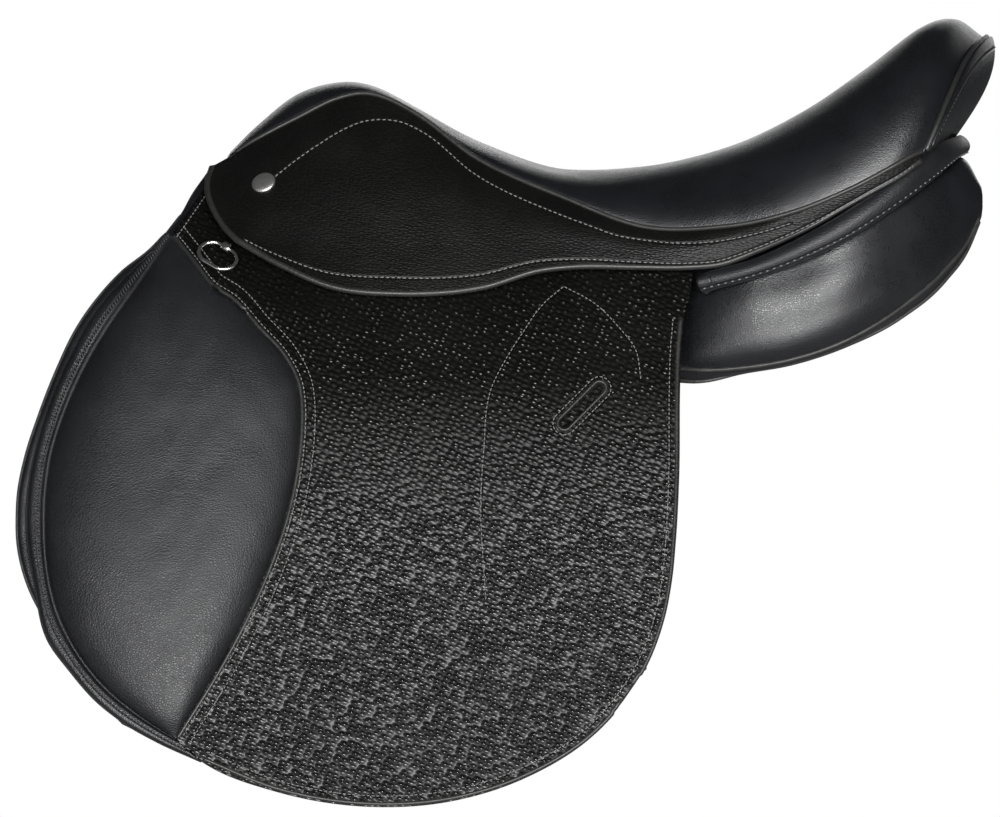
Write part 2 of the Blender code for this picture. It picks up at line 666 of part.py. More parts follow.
def keeper_cutter(side):
    """Long hole with round ends through the flap and its lining."""
    half = SLOT_LENGTH / 2 - SLOT_WIDTH / 2
    outline = []
    for step in range(7):
        turn = -math.pi / 2 + math.pi * step / 6
        outline.append((half + SLOT_WIDTH / 2 * math.cos(turn), SLOT_WIDTH / 2 * math.sin(turn)))
    for step in range(7):
        turn = math.pi / 2 + math.pi * step / 6
        outline.append((-half + SLOT_WIDTH / 2 * math.cos(turn), SLOT_WIDTH / 2 * math.sin(turn)))
    cos, sin = math.cos(SLOT_ANGLE), math.sin(SLOT_ANGLE)
    ring = [(SLOT_X + a * cos - b * sin, CUT_START * side, SLOT_Z + a * sin + b * cos)
            for a, b in outline]
    return as_cutter(extruded("keeper_cutter", ring, Vector((0.0, CUT_START * side, 0.0))))


def knee_pad(side, label):
    """Padded calf front of the flap, in a part above and a part below the fold."""
    gap = GAP / MM
    base_drop = FLAP_LEATHER + PAD_GAP

    def crown(z):
        levels, heights = zip(*PAD_CROWN)
        return hermite(levels, heights, z)

    def padded(name, flat):
        rows, columns = flat.shape[:2]
        u = np.linspace(-1, 1, columns)[None, :]
        x, z = flat[..., 0], flat[..., 1]
        swell = crown(z) * (1 - np.abs(u) ** 2.6) ** 0.75
        base = flap_width(x, z) - base_drop
        outer = np.stack([x, base + PAD_RIM + swell, z], -1)
        inner = np.stack([x, base + np.zeros_like(x), z], -1)
        rings = [np.concatenate([a, b[::-1]]) * np.array([1, side, 1])
                 for a, b in zip(outer, inner)]
        closed_loft(name, rings, SMOOTH_CALF)

    front = [(x, z - gap if z == FOLD_Z / MM else z) for x, z in PAD_FRONT]
    rear = [(x - 1.1, z - gap if z == FOLD_Z / MM else z) for x, z in PAD_SEAM]
    foot = PAD_FOOT[:-1] + [rear[-1]]
    flat = coons(along([front[0], rear[0]], 9), along(foot, 9),
                 along(front, FLAP_ROWS, FLAP_GRADE), along(rear, FLAP_ROWS, FLAP_GRADE))
    padded(f"knee_pad_{label}", flat)
    rear_top = [(x - 0.6, z) for x, z in PAD_SEAM_TOP]
    flat = coons(along([(-238.4, 84.4), rear_top[0]], 7), along([PAD_FRONT_TOP[-1], rear_top[-1]], 7),
                 along([(-238.4, 84.4)] + PAD_FRONT_TOP[1:], 5), along(rear_top, 5))
    x, z = flat[..., 0], flat[..., 1]
    u = np.linspace(-1, 1, 7)[None, :]
    swell = crown(z) * (1 - np.abs(u) ** 2.6) ** 0.75
    base = flap_width(x, z) + LAYER_GAP
    level = np.maximum(swell - base_drop, PAD_RIM / 2)
    outer = np.stack([x, base + level, z], -1)
    inner = np.stack([x, base, z], -1)
    rings = [np.concatenate([a, b[::-1]]) * np.array([1, side, 1]) for a, b in zip(outer, inner)]
    closed_loft(f"knee_pad_top_{label}", rings, SMOOTH_CALF)


def sweat_flap(side, label):
    """Leather sheet on the panel's outer edge, between the girth straps and the horse."""
    flat = coons(along(SWEAT_TOP, 13, 1.5), along(SWEAT_BOTTOM, 13, 1.5), along(SWEAT_FRONT, 13),
                 along(SWEAT_REAR, 13))
    grid = on_width(flat, sweat_width)
    sheet(f"sweat_flap_{label}", grid, SWEAT_LEATHER, LINING_CALF, side)


def skirt_hinge(place):
    """Point on the straight hinge line of the skirt, 0 at its front and 1 at its rear."""
    front = np.array(HINGE_FRONT) * MM
    rear = np.array(HINGE_REAR) * MM
    return front + (rear - front) * np.asarray(place)[..., None]


def skirt_pieces(side, label):
    """Small flap over the stirrup bar: its fixed top and the part that lifts."""
    seam = seat_grid()[:, -1]
    start, end = HINGE_FRONT[0] * MM, HINGE_REAR[0] * MM
    taper = np.array(SKIRT_TAPER) * MM
    inside = seam[(seam[:, 0] > -0.2) & (seam[:, 0] < taper[-1, 0])]
    top = np.concatenate([SKIRT_NOSE * np.array([[MM, MM, MM]]), inside])
    top[:, 2] -= SEAM_GAP
    places = np.clip(top[:, 0], start, None)
    places[0] = start
    bottom = np.array([skirt_hinge((x - start) / (end - start)) if x <= end
                       else [np.interp(x, taper[:, 0], taper[:, i]) for i in range(3)]
                       for x in places])
    middle = (top + bottom) / 2
    middle[:, 1] += SKIRT_SWELL * smoothstep((places - SKIRT_FLAT_X) / SKIRT_EASE)
    fixed = np.array([top, middle, bottom])
    item = sheet(f"skirt_top_{label}", fixed, SKIRT_LEATHER, PRINTED_LEATHER, side)
    item.modifiers[0].use_even_offset = False
    hinge = skirt_hinge(np.linspace(0.0, 1.0, 16))
    edge = along(SKIRT_EDGE, 16)
    front = along(SKIRT_FRONT, 5)
    rear = along([HINGE_REAR, SKIRT_EDGE[-1]], 5)
    moving = coons(hinge, edge, front, rear)
    moving[..., 2] -= HINGE_GAP * np.linspace(1.0, 0.0, len(front))[:, None]
    sheet(f"skirt_{label}", moving, SKIRT_LEATHER, PRINTED_LEATHER, side)


# Cantle and rear


def cantle_arch(columns, push=0.0):
    """Rear edge of the seat, left to right, pushed out to the rear."""
    row = seat_row(1.0, columns)
    before = seat_row(0.97, columns)
    direction = row - before
    direction[:, 2] = 0.0
    direction[:, 1] *= 0.3
    direction[:, 0] = np.abs(direction[:, 0]) + 0.004
    direction /= np.linalg.norm(direction, axis=1, keepdims=True)
    return row + direction * push


def cantle_welt():
    """Piping between the seat and the leather behind the cantle."""
    path = cantle_arch(23, WELT_RADIUS + LAYER_GAP)
    curve = bpy.data.curves.new("cantle_welt", "CURVE")
    curve.dimensions = "3D"
    curve.bevel_depth = WELT_RADIUS
    curve.bevel_resolution = 1
    curve.use_fill_caps = True
    line = curve.splines.new("POLY")
    line.points.add(len(path) - 1)
    for point, place in zip(line.points, path):
        point.co = (*place, 1.0)
    item = bpy.data.objects.new("cantle_welt", curve)
    item.data.materials.append(SMOOTH_CALF)
    PARTS.objects.link(item)


def cantle_back():
    """Leather behind the cantle, from the piping down to the band."""
    columns = 19
    top = cantle_arch(columns, BACK_PUSH)
    side = top[:, 1] / np.abs(top[:, 1]).max()
    low_x = BACK_LOW_X - BACK_WRAP * side ** 2
    low_z = BACK_LOW_Z - BACK_DROP * side ** 2
    low = np.stack([low_x, 0.97 * top[:, 1], low_z], -1)
    reach = 1 - np.abs(side) ** 3
    rows = []
    for share in np.linspace(0, 1, 7):
        row = top + (low - top) * share
        row[:, 0] += BACK_BULGE * reach * math.sin(math.pi * share ** 0.8)
        rows.append(row)
    grid = np.array(rows)[:, 1:-1]
    item = mesh_object("cantle_back", grid.reshape(-1, 3), grid_faces(7, columns - 2, True),
                       SMOOTH_CALF)
    solidify(item, CALF)


def rear_facing():
    """Stitched band that wraps round the back under the cantle."""
    upper = along(BAND_TOP, 18)
    lower = along(BAND_BOTTOM, 18)
    mirror = np.array([1.0, -1.0, 1.0])
    upper = np.concatenate([upper * mirror, upper[-2::-1]])
    lower = np.concatenate([lower * mirror, lower[-2::-1]])
    middle = (upper + lower) / 2
    outward = middle * np.array([0.0, 1.0, 0.0])
    outward[:, 0] = np.maximum(middle[:, 0] - 0.12, 0.0) * 1.2
    outward /= np.maximum(np.linalg.norm(outward, axis=1, keepdims=True), 1e-6)
    middle = middle + outward * BAND_CROWN
    grid = np.array([upper, middle, lower])
    item = mesh_object("rear_facing", grid.reshape(-1, 3), grid_faces(3, grid.shape[1], True),
                       SMOOTH_CALF)
    solidify(item, BAND)


def rounded_section(corners, count):
    """Closed smooth ring through the corners and the middles of the long sides."""
    points = []
    for a, b in zip(corners, corners[1:] + corners[:1]):
        a, b = np.array(a, float), np.array(b, float)
        points.append(a + (b - a) * 0.18)
        points.append(a + (b - a) * 0.5)
        points.append(a + (b - a) * 0.82)
    ring = np.array(points + points[:3])
    spans = np.linalg.norm(np.diff(ring, axis=0), axis=1)
    knots = np.r_[0.0, np.cumsum(spans)]
    length = knots[len(points)]
    start = knots[1]
    places = start + np.linspace(0, length, count, endpoint=False)
    return hermite(knots, ring, np.where(places > knots[-1], places - length, places))


def panel(side, label):
    """Stuffed cushion of one side, shallow in front and deep behind."""
    stations = []
    for x, lean, *corners in PANEL_STATIONS:
        ring = rounded_section(list(corners), PANEL_ROUND)
        xs = x + lean * (ring[:, 1] - PANEL_REF_Z)
        stations.append(np.stack([xs, ring[:, 0], ring[:, 1]], -1) * MM)
    table = np.array(stations)
    knots = np.array([row[0] for row in PANEL_STATIONS])
    flat = table.reshape(len(table), -1)
    rings = hermite(knots, flat, PANEL_RINGS).reshape(len(PANEL_RINGS), -1, 3)
    mirror = np.array([1.0, side, 1.0])
    closed_loft(f"panel_{label}", [ring * mirror for ring in rings], SMOOTH_CALF)


def channel_lining():
    """Leather that joins the two panels over the spine channel."""
    stations = along([(x, z, 0) for x, z in CHANNEL_STATIONS], 11)
    across = np.linspace(-0.029, 0.029, 5)
    grid = np.array([[(x, y, z - CHANNEL_DROP - 6.0 * y * y) for y in across] for x, z, _ in stations])
    item = mesh_object("channel_lining", grid[:, ::-1].reshape(-1, 3), grid_faces(11, 5, False),
                       LINING_CALF)
    solidify(item, CALF)


# Metalwork


def bar_frame(side):
    """Place and axes of the stirrup bar: along the tree, out from its wall, down the wall."""
    step = 0.004
    y = float(wall_width(BAR_X, BAR_Z))
    rise = float(wall_width(BAR_X, BAR_Z + step) - wall_width(BAR_X, BAR_Z - step)) / (2 * step)
    down = Vector((0.0, -rise * side, -1.0)).normalized()
    lengthwise = Vector((1.0, 0.0, 0.0))
    out = Vector((0.0, side, -rise)).normalized()
    return Vector((BAR_X, y * side, BAR_Z)), lengthwise, out, down


def in_bar_frame(side, a, b, c):
    """Point at a along the bar, b out from the wall and c down it."""
    place, lengthwise, out, down = bar_frame(side)
    return place + lengthwise * a + out * b + down * c


def rivet_places():
    """Places of the two rivets along the bar."""
    return (-BAR_LENGTH / 2 - 0.0085, BAR_LENGTH / 2 + 0.0085)


def prism(name, outline, side, half_width, material):
    """Outline in the bar's lengthwise and outward directions, extruded down the wall."""
    ring = [in_bar_frame(side, a, b, -half_width) for a, b in outline]
    item = extruded(name, ring, bar_frame(side)[3] * (2 * half_width))
    item.data.materials.append(material)
    PARTS.objects.link(item)
    return item


def rivet_bore(side, place):
    """Cutter of a rivet's bore through plate and wall."""
    start = in_bar_frame(side, place, 0.012, 0.0)
    end = in_bar_frame(side, place, -0.014, 0.0)
    return cylinder(f"rivet_bore_{side}_{place:.3f}", start, end, RIVET_RADIUS + RIVET_CLEARANCE)


def cylinder(name, start, end, radius, sides=12):
    """Cutter cylinder between two points."""
    axis = end - start
    builder = bmesh.new()
    bmesh.ops.create_cone(builder, cap_ends=True, segments=sides, radius1=radius, radius2=radius,
                          depth=axis.length)
    mesh = bpy.data.meshes.new(name)
    builder.to_mesh(mesh)
    builder.free()
    item = bpy.data.objects.new(name, mesh)
    item.matrix_world = axis.to_track_quat("Z", "Y").to_matrix().to_4x4()
    item.location = (start + end) / 2
    CUTTERS.objects.link(item)
    return as_cutter(item)


def bar_window(side):
    """Cutter of the opening in the flap round the bar's plate."""
    half_long = BAR_LENGTH / 2 + 0.0175
    builder = bmesh.new()
    bmesh.ops.create_cube(builder, size=1.0)
    for vert in builder.verts:
        a, b, c = vert.co
        vert.co = in_bar_frame(side, a * 2 * half_long, b * 0.030, c * (BAR_WIDTH + 0.003))
    builder.normal_update()
    bmesh.ops.recalc_face_normals(builder, faces=builder.faces)
    mesh = bpy.data.meshes.new(f"bar_window_{side}")
    builder.to_mesh(mesh)
    builder.free()
    item = bpy.data.objects.new(mesh.name, mesh)
    CUTTERS.objects.link(item)
    return as_cutter(item)


def stirrup_bar(side, label):
    """Forged bar that stands off its plate, open to the rear."""
    half = BAR_LENGTH / 2
    seat = GAP
    plate = seat + BAR_PLATE
    inner = plate + BAR_GAP
    outer = inner + BAR_THICKNESS
    bend = inner - plate
    outline = [(-half - 0.015, seat), (half + 0.015, seat), (half + 0.015, plate),
               (-half + BAR_THICKNESS + bend / 2, plate)]
    centre_a = -half + BAR_THICKNESS + bend / 2
    centre_b = plate + bend / 2
    for step in range(1, 6):
        turn = -math.pi / 2 - math.pi * step / 6
        outline.append((centre_a + bend / 2 * math.cos(turn), centre_b + bend / 2 * math.sin(turn)))
    end = catch_axis()[0] + EAR_LENGTH
    outline += [(centre_a, inner), (end, inner), (end, outer), (centre_a, outer)]
    radius = outer - centre_b
    for step in range(1, 5):
        turn = math.pi / 2 + math.pi / 2 * step / 5
        outline.append((centre_a + radius * math.cos(turn), centre_b + radius * math.sin(turn)))
    outline += [(-half - 0.0025, plate), (-half - 0.015, plate)]
    item = prism(f"stirrup_bar_{label}", outline, side, BAR_WIDTH / 2, FORGED_STEEL)
    for place in rivet_places():
        boolean(item, rivet_bore(side, place), "DIFFERENCE")
    axis_a, axis_b = catch_axis()
    root = axis_a - math.hypot(CATCH_BACK, BAR_THICKNESS / 2) - FORK_CLEARANCE
    fork = [(root, inner - MM), (end + MM, inner - MM), (end + MM, outer + MM), (root, outer + MM)]
    fork_width = CATCH_WIDTH / 2 + FORK_CLEARANCE
    boolean(item, as_cutter(prism(f"bar_fork_{label}", fork, side, fork_width, FORGED_STEEL)),
            "DIFFERENCE")
    bore = cylinder(f"ear_bore_{side}", in_bar_frame(side, axis_a, axis_b, -0.02),
                    in_bar_frame(side, axis_a, axis_b, 0.02), PIN_RADIUS + RIVET_CLEARANCE, 10)
    boolean(item, bore, "DIFFERENCE")


def rivets(side, label):
    """Two rivets through the bar's plate and the tree's wall."""
    for name, place in zip(("front", "rear"), rivet_places()):
        head = GAP + BAR_PLATE + 0.0003
        foot = -TREE_WALL + 0.0005
        profile = [(0.0, head + 0.0020), (RIVET_HEAD * 0.55, head + 0.0017),
                   (RIVET_HEAD, head + 0.0006), (RIVET_HEAD, head), (RIVET_RADIUS, head),
                   (RIVET_RADIUS, foot), (0.0, foot)]
        turned(f"bar_rivet_{name}_{label}", profile, in_bar_frame(side, place, 0.0, 0.0),
               bar_frame(side)[2], FORGED_STEEL, 12)


def turned(name, profile, place, axis, material, steps):
    """Turned piece: a profile of (radius, height) pairs spun about an axis by a Screw."""
    mesh = bpy.data.meshes.new(name)
    edges = [(i, i + 1) for i in range(len(profile) - 1)]
    mesh.from_pydata([(r, 0.0, h) for r, h in profile], edges, [])
    item = bpy.data.objects.new(name, mesh)
    item.data.materials.append(material)
    PARTS.objects.link(item)
    screw = item.modifiers.new("turn", "SCREW")
    screw.steps = steps
    screw.render_steps = steps
    screw.use_merge_vertices = True
    screw.merge_threshold = 0.00002
    item.rotation_mode = "QUATERNION"
    item.rotation_quaternion = axis.to_track_quat("Z", "Y")
    item.location = place
    return item


def bar_catch(side, label):
    """Thumb catch hinged on a pin at the open end of the bar."""
    centre_a, centre_b = catch_axis()
    back, thick = CATCH_BACK, BAR_THICKNESS / 2
    outline = [(-back, -back), (EAR_LENGTH, -thick), (CATCH_LENGTH, -0.4 * thick),
               (CATCH_LENGTH, 0.8 * thick), (EAR_LENGTH, thick), (-back, back)]
    outline = [(centre_a + a, centre_b + b) for a, b in outline]
    item = prism(f"bar_catch_{label}", outline, side, CATCH_WIDTH / 2, FORGED_STEEL)
    bore = cylinder(f"catch_bore_{side}", in_bar_frame(side, centre_a, centre_b, -0.02),
                    in_bar_frame(side, centre_a, centre_b, 0.02), PIN_RADIUS + RIVET_CLEARANCE, 10)
    boolean(item, bore, "DIFFERENCE")


def catch_axis():
    """Place of the catch's pin along the bar and out from the wall."""
    inner = GAP + BAR_PLATE + BAR_GAP
    return BAR_LENGTH / 2 + EAR_LENGTH, inner + BAR_THICKNESS / 2


def catch_pin(side, label):
    """Pin through the catch, carried by the bar's end."""
    centre_a, centre_b = catch_axis()
    half = BAR_WIDTH / 2
    profile = [(0.0, half + 0.0013), (PIN_RADIUS * 1.7, half + 0.0011),
               (PIN_RADIUS * 1.7, half + 0.0003), (PIN_RADIUS, half + 0.0003),
               (PIN_RADIUS, -half - 0.0005), (0.0, -half - 0.0005)]
    turned(f"catch_pin_{label}", profile, in_bar_frame(side, centre_a, centre_b, 0.0),
           bar_frame(side)[3], FORGED_STEEL, 10)


def dee_frame(side):
    """Place of the dee's straight side, its direction, and outward from the flap."""
    step = 0.002
    y = float(flap_width(DEE_X, DEE_Z))
    slope_x = float(flap_width(DEE_X + step, DEE_Z) - flap_width(DEE_X - step, DEE_Z)) / (2 * step)
    slope_z = float(flap_width(DEE_X, DEE_Z + step) - flap_width(DEE_X, DEE_Z - step)) / (2 * step)
    out = Vector((-slope_x, side, -slope_z)).normalized()
    if side < 0:
        out = Vector((-slope_x, -1.0, -slope_z)).normalized()
    rough = Vector((0.70, 0.0, -0.72))
    straight = (rough - out * rough.dot(out)).normalized()
    hang = straight.cross(out).normalized()
    if hang.x > 0:
        hang.negate()
    return Vector((DEE_X, y * side, DEE_Z)), straight, hang, out


def wire_loop(name, path, radius, material, closed=True):
    """Round wire along a closed path of points."""
    curve = bpy.data.curves.new(name, "CURVE")
    curve.dimensions = "3D"
    curve.bevel_depth = radius
    curve.bevel_resolution = 1
    curve.use_fill_caps = not closed
    line = curve.splines.new("POLY")
    line.points.add(len(path) - 1)
    line.use_cyclic_u = closed
    for point, place in zip(line.points, path):
        point.co = (*place, 1.0)
    item = bpy.data.objects.new(name, curve)
    item.data.materials.append(material)
    PARTS.objects.link(item)
    return item


def dee(side, label):
    """Nickel ring with one straight side, held by a small folded clip on the flap."""
    place, straight, hang, out = dee_frame(side)
    height = RING_LIFT
    half = RING_LENGTH / 2
    bend = RING_WIDTH / 2
    path = []
    for step in range(9):
        turn = math.pi / 2 - math.pi * step / 8
        path.append((half - bend + bend * math.cos(turn), bend - bend * math.sin(turn)))
    for step in range(9):
        turn = -math.pi / 2 - math.pi * step / 8
        path.append((-half + bend + bend * math.cos(turn), bend - bend * math.sin(turn)))
    points = [place + straight * a + hang * b + out * height for a, b in path]
    wire_loop(f"dee_ring_{label}", points, RING_WIRE, BRIGHT_NICKEL)
    inside, outside = RING_WIRE + GAP, RING_WIRE + GAP + CLIP
    turns = [-math.pi / 2 + math.pi * step / 8 for step in range(9)]
    outline = [(-outside * math.cos(turn), height - outside * math.sin(turn)) for turn in turns]
    outline += [(CLIP_TAIL, height - outside), (CLIP_TAIL, height - inside)]
    outline += [(-inside * math.cos(turn), height - inside * math.sin(turn)) for turn in turns[::-1]]
    outline += [(CLIP_TAIL, height + inside), (CLIP_TAIL, height + outside)]
    ring = [place - straight * (CLIP_WIDTH / 2) - hang * a + out * b for a, b in outline]
    clip = extruded(f"dee_staple_{label}", ring, straight * CLIP_WIDTH)
    clip.data.materials.append(BRIGHT_NICKEL)
    PARTS.objects.link(clip)


def skirt_top_width(x, z):
    """Half width of the skirt's fixed top near the pommel, where it lies flat."""
    seam = seat_grid()[:, -1]
    top_y, top_z = (np.interp(x, seam[:, 0], seam[:, i]) for i in (1, 2))
    start, end = HINGE_FRONT[0] * MM, HINGE_REAR[0] * MM
    hinge = skirt_hinge((x - start) / (end - start))
    share = (z - hinge[2]) / (top_z - SEAM_GAP - hinge[2])
    return float(hinge[1] + (top_y - hinge[1]) * share)


def stud(side, label):
    """Silver nail head at the pommel."""
    x, z = STUD_X, STUD_Z
    step = 0.003
    slope_x = (skirt_top_width(x + step, z) - skirt_top_width(x - step, z)) / (2 * step)
    slope_z = (skirt_top_width(x, z + step) - skirt_top_width(x, z - step)) / (2 * step)
    out = Vector((-slope_x, side, -slope_z)).normalized()
    profile = [(0.0, STUD_HEIGHT), (STUD_RADIUS * 0.5, STUD_HEIGHT * 0.92),
               (STUD_RADIUS * 0.85, STUD_HEIGHT * 0.62), (STUD_RADIUS, 0.0004),
               (STUD_RADIUS, 0.0), (0.0, 0.0)]
    place = Vector((x, skirt_top_width(x, z) * side, z)) + out * STUD_SEAT
    turned(f"stud_{label}", profile, place, out, BRIGHT_NICKEL, 18)


# Girthing


def girth_straps(side, label):
    """Three pointed straps with punched holes and the guard over their upper ends."""
    top = STRAP_TOP_Z
    for name, shift in (("front", -1), ("middle", 0), ("rear", 1)):
        centre = STRAP_MIDDLE_X + shift * STRAP_PITCH
        levels = np.array([top, HANG_Z, top - STRAP_LENGTH + STRAP_TIP, top - STRAP_LENGTH])
        half = np.array([STRAP_WIDTH, STRAP_WIDTH, STRAP_WIDTH, STRAP_TIP_WIDTH]) / 2
        grid = np.array([[(centre + h * u, strap_path(z), z) for u in (-1, 0, 1)]
                         for z, h in zip(levels, half)])
        item = sheet(f"girth_strap_{name}_{label}", grid, STRAP_LEATHER, STRAP_HIDE, side)
        for hole in range(HOLES):
            z = top - STRAP_LENGTH + FIRST_HOLE + hole * HOLE_PITCH
            y = float(strap_path(z))
            bore = cylinder(f"hole_{name}_{hole}_{side}", Vector((centre, (y - 0.02) * side, z)),
                            Vector((centre, (y + 0.02) * side, z)), HOLE_RADIUS, 8)
            boolean(item, bore, "DIFFERENCE")
    half = STRAP_PITCH + STRAP_WIDTH / 2 + GUARD_MARGIN
    levels = np.linspace(GUARD_TOP_Z, GUARD_LOW_Z, 4)
    spread = np.linspace(0, 1, 4) ** 2 * GUARD_MARGIN
    grid = np.array([[(STRAP_MIDDLE_X + (half - s) * u, strap_path(z) + LINING + LAYER_GAP, z)
                      for u in (-1, 0, 1)] for z, s in zip(levels, spread)])
    sheet(f"buckle_guard_{label}", grid, LINING, STRAP_HIDE, side)


def strap_path(z):
    """Half width of the straps' outer face: flat under the guard, a little freer below it."""
    held = STRAP_TOP_WIDTH + FLAP_FLARE * (STRAP_TOP_Z - np.maximum(z, HANG_Z))
    return held + HANG_FLARE * np.maximum(HANG_Z - z, 0.0)


def girth_web(side, label):
    """Web over the tree's rail that carries the straps of one side."""
    x_low = STRAP_MIDDLE_X - STRAP_PITCH - STRAP_WIDTH / 2
    x_high = STRAP_MIDDLE_X + STRAP_PITCH + STRAP_WIDTH / 2
    layer = seat_layer(foam_depth(SEAT_ROWS) + LAYER_GAP)
    inside = [cut for cut in layer if x_low < cut[SEAT_COLUMNS // 2, 0] < x_high]
    cuts = [layer_cut(layer, x_low)] + inside + [layer_cut(layer, x_high)]
    end = np.array([strap_path(STRAP_TOP_Z) - 0.0010, STRAP_TOP_Z + 0.001])
    rows = []
    for cut in cuts:
        row = [across_row(cut, np.array([WEB_HALF_WIDTH + 2 * LAYER_GAP]))[0]]
        row += list(cut[SEAT_COLUMNS // 2 + 2:SEAT_COLUMNS - 2])
        row[-1] = row[-1] + np.array([0.0, LAYER_GAP, -LAYER_GAP])
        last = row[-1]
        for share in (0.35, 0.7, 1.0):
            point = last[1:] + (end - last[1:]) * share
            row.append(np.array([last[0], point[0], point[1]]))
        rows.append(row)
    grid = np.array(rows)
    points = grid.reshape(-1, 3) * np.array([1.0, side, 1.0])
    item = mesh_object(f"girth_web_{label}", points,
                       grid_faces(grid.shape[0], grid.shape[1], side > 0), WEBBING)
    solidify(item, WEB)


def knee_block(side, label):
    """Foam block on the sweat flap behind the knee pad."""
    outline = along([(-252, 20), (-226, 26), (-206, -6), (-206, -66), (-226, -112), (-252, -112),
                     (-274, -66), (-272, -10), (-252, 20)], 17)[:-1]
    centre = outline.mean(axis=0)
    rings = []
    for share, height in ((1.0, 0.0), (1.0, 0.35), (0.9, 0.8), (0.62, 1.0)):
        ring = centre + (outline - centre) * share
        x, z = ring[:, 0], ring[:, 1]
        y = sweat_width(x, z) + 0.0014 + 0.0062 * height
        rings.append(np.stack([x, y * side, z], -1))
    closed_loft(f"knee_block_{label}", rings, FOAM)


def point_pocket(side, label):
    """Leather pocket over the end of the tree's point."""
    top = along([(-229, 86), (-212, 86)], 5)
    bottom = along([(-246, 58), (-226, 54), (-213, 60)], 5)
    front = along([(-229, 86), (-238, 72), (-246, 58)], 5)
    rear = along([(-212, 86), (-206, 74), (-213, 60)], 5)
    flat = coons(top, bottom, front, rear)
    drop = FLAP_LEATHER + LAYER_GAP * 2 + 0.0003
    sheet(f"point_pocket_{label}", on_width(flat, flap_width, drop), 0.0016, STRAP_HIDE, side)


def pommel_facing():
    """Leather round the front of the arch, from one flap top over the nose to the other."""
    half = [(-213.5, 36.0, 120.0), (-210.0, 31.0, 124.2), (-207.0, 22.0, 127.9),
            (-206.2, 12.0, 129.6), (-206.0, 0.0, 130.2)]
    inner = [(-211.0, 29.0, 114.0), (-208.0, 25.5, 117.5), (-205.5, 18.0, 120.5),
             (-204.5, 9.0, 121.8), (-204.2, 0.0, 122.2)]
    mirror = np.array([1.0, -1.0, 1.0])
    upper = along(half, 9)
    lower = along(inner, 9)
    upper = np.concatenate([upper * mirror, upper[-2::-1]])
    lower = np.concatenate([lower * mirror, lower[-2::-1]])
    grid = np.array([upper, (upper + lower) / 2, lower])
    item = mesh_object("pommel_facing", grid.reshape(-1, 3), grid_faces(3, grid.shape[1], False),
                       SMOOTH_CALF)
    solidify(item, CALF)


def head_iron():
    """Steel arch under the head that keeps its width."""
    rows = []
    for x in IRON_X + IRON_WIDTH * np.array([-0.5, 0.0, 0.5]):
        path = []
        for z in np.linspace(IRON_LOW_Z, IRON_TOP_Z, 6):
            path.append((float(wall_width(x, z)) - TREE_WALL * 1.4 - 0.0009, z))
        rest = path[-1]
        top_z = rest[1] + IRON_RISE
        path += [(rest[0] * 0.72, top_z - 0.001), (rest[0] * 0.36, top_z), (0.0, top_z)]
        half = np.array(path)
        whole = np.concatenate([half * np.array([-1, 1]), half[-2::-1]])
        rows.append(np.stack([np.full(len(whole), x), whole[:, 0], whole[:, 1]], -1))
    grid = np.array(rows)
    item = mesh_object("head_iron", grid.reshape(-1, 3), grid_faces(3, grid.shape[1], True),
                       FORGED_STEEL)
    solidify(item, IRON)


def set_origin(name, place):
    """Put a piece's origin on its joint axis."""
    item = bpy.data.objects[name]
    item.data.transform(Matrix.Translation(-place))
    item.location = place


def joint_places(side):
    """Joint axes of one side by name: a point on each and its direction."""
    flap = Vector((0.0, FLAP_HINGE_WIDTH * side, FOLD_Z))
    mirror = np.array([1.0, side, 1.0])
    front, rear = (Vector(skirt_hinge(place) * mirror) for place in (0.0, 1.0))
    straps = Vector((STRAP_MIDDLE_X, STRAP_TOP_WIDTH * side, STRAP_TOP_Z))
    _, lengthwise, out, _ = bar_frame(side)
    catch = in_bar_frame(side, *catch_axis(), 0.0)
    place, straight, hang, away = dee_frame(side)
    return {"flap": (flap, Vector((side, 0.0, 0.0))),
            "skirt": (front, (rear - front).normalized() * side),
            "girth_straps": (straps, Vector((side, 0.0, 0.0))),
            "bar_catch": (catch, lengthwise.cross(out)),
            "dee_ring": (place + away * RING_LIFT, hang.cross(away))}


def place_origins(side, label):
    """Put the origin of every moving piece of one side on its joint axis."""
    places = joint_places(side)
    moving = {"flap": ("flap", "flap_lining", "knee_pad"), "skirt": ("skirt",),
              "girth_straps": ("girth_strap_front", "girth_strap_middle", "girth_strap_rear",
                               "buckle_guard"),
              "bar_catch": ("bar_catch",), "dee_ring": ("dee_ring",)}
    for joint, names in moving.items():
        for name in names:
            set_origin(f"{name}_{label}", places[joint][0])


def build():
    """Build the whole saddle."""
    seat_cover()
    seat_foam()
    tree()
    straining_web()
    cantle_welt()
    cantle_back()
    rear_facing()
    channel_lining()
    pommel_facing()
    head_iron()
    for side, label in ((-1, "left"), (1, "right")):
        flap_pieces(side, label)
        knee_pad(side, label)
        sweat_flap(side, label)
        skirt_pieces(side, label)
        panel(side, label)
        stirrup_bar(side, label)
        rivets(side, label)
        bar_catch(side, label)
        catch_pin(side, label)
        dee(side, label)
        stud(side, label)
        girth_straps(side, label)
        girth_web(side, label)
        knee_block(side, label)
        point_pocket(side, label)
        place_origins(side, label)


build()
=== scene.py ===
import json
import logging
import math
from dataclasses import dataclass, field
from enum import Enum

import bpy
import numpy as np
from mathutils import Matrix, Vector
from mathutils.bvhtree import BVHTree
from mathutils.kdtree import KDTree


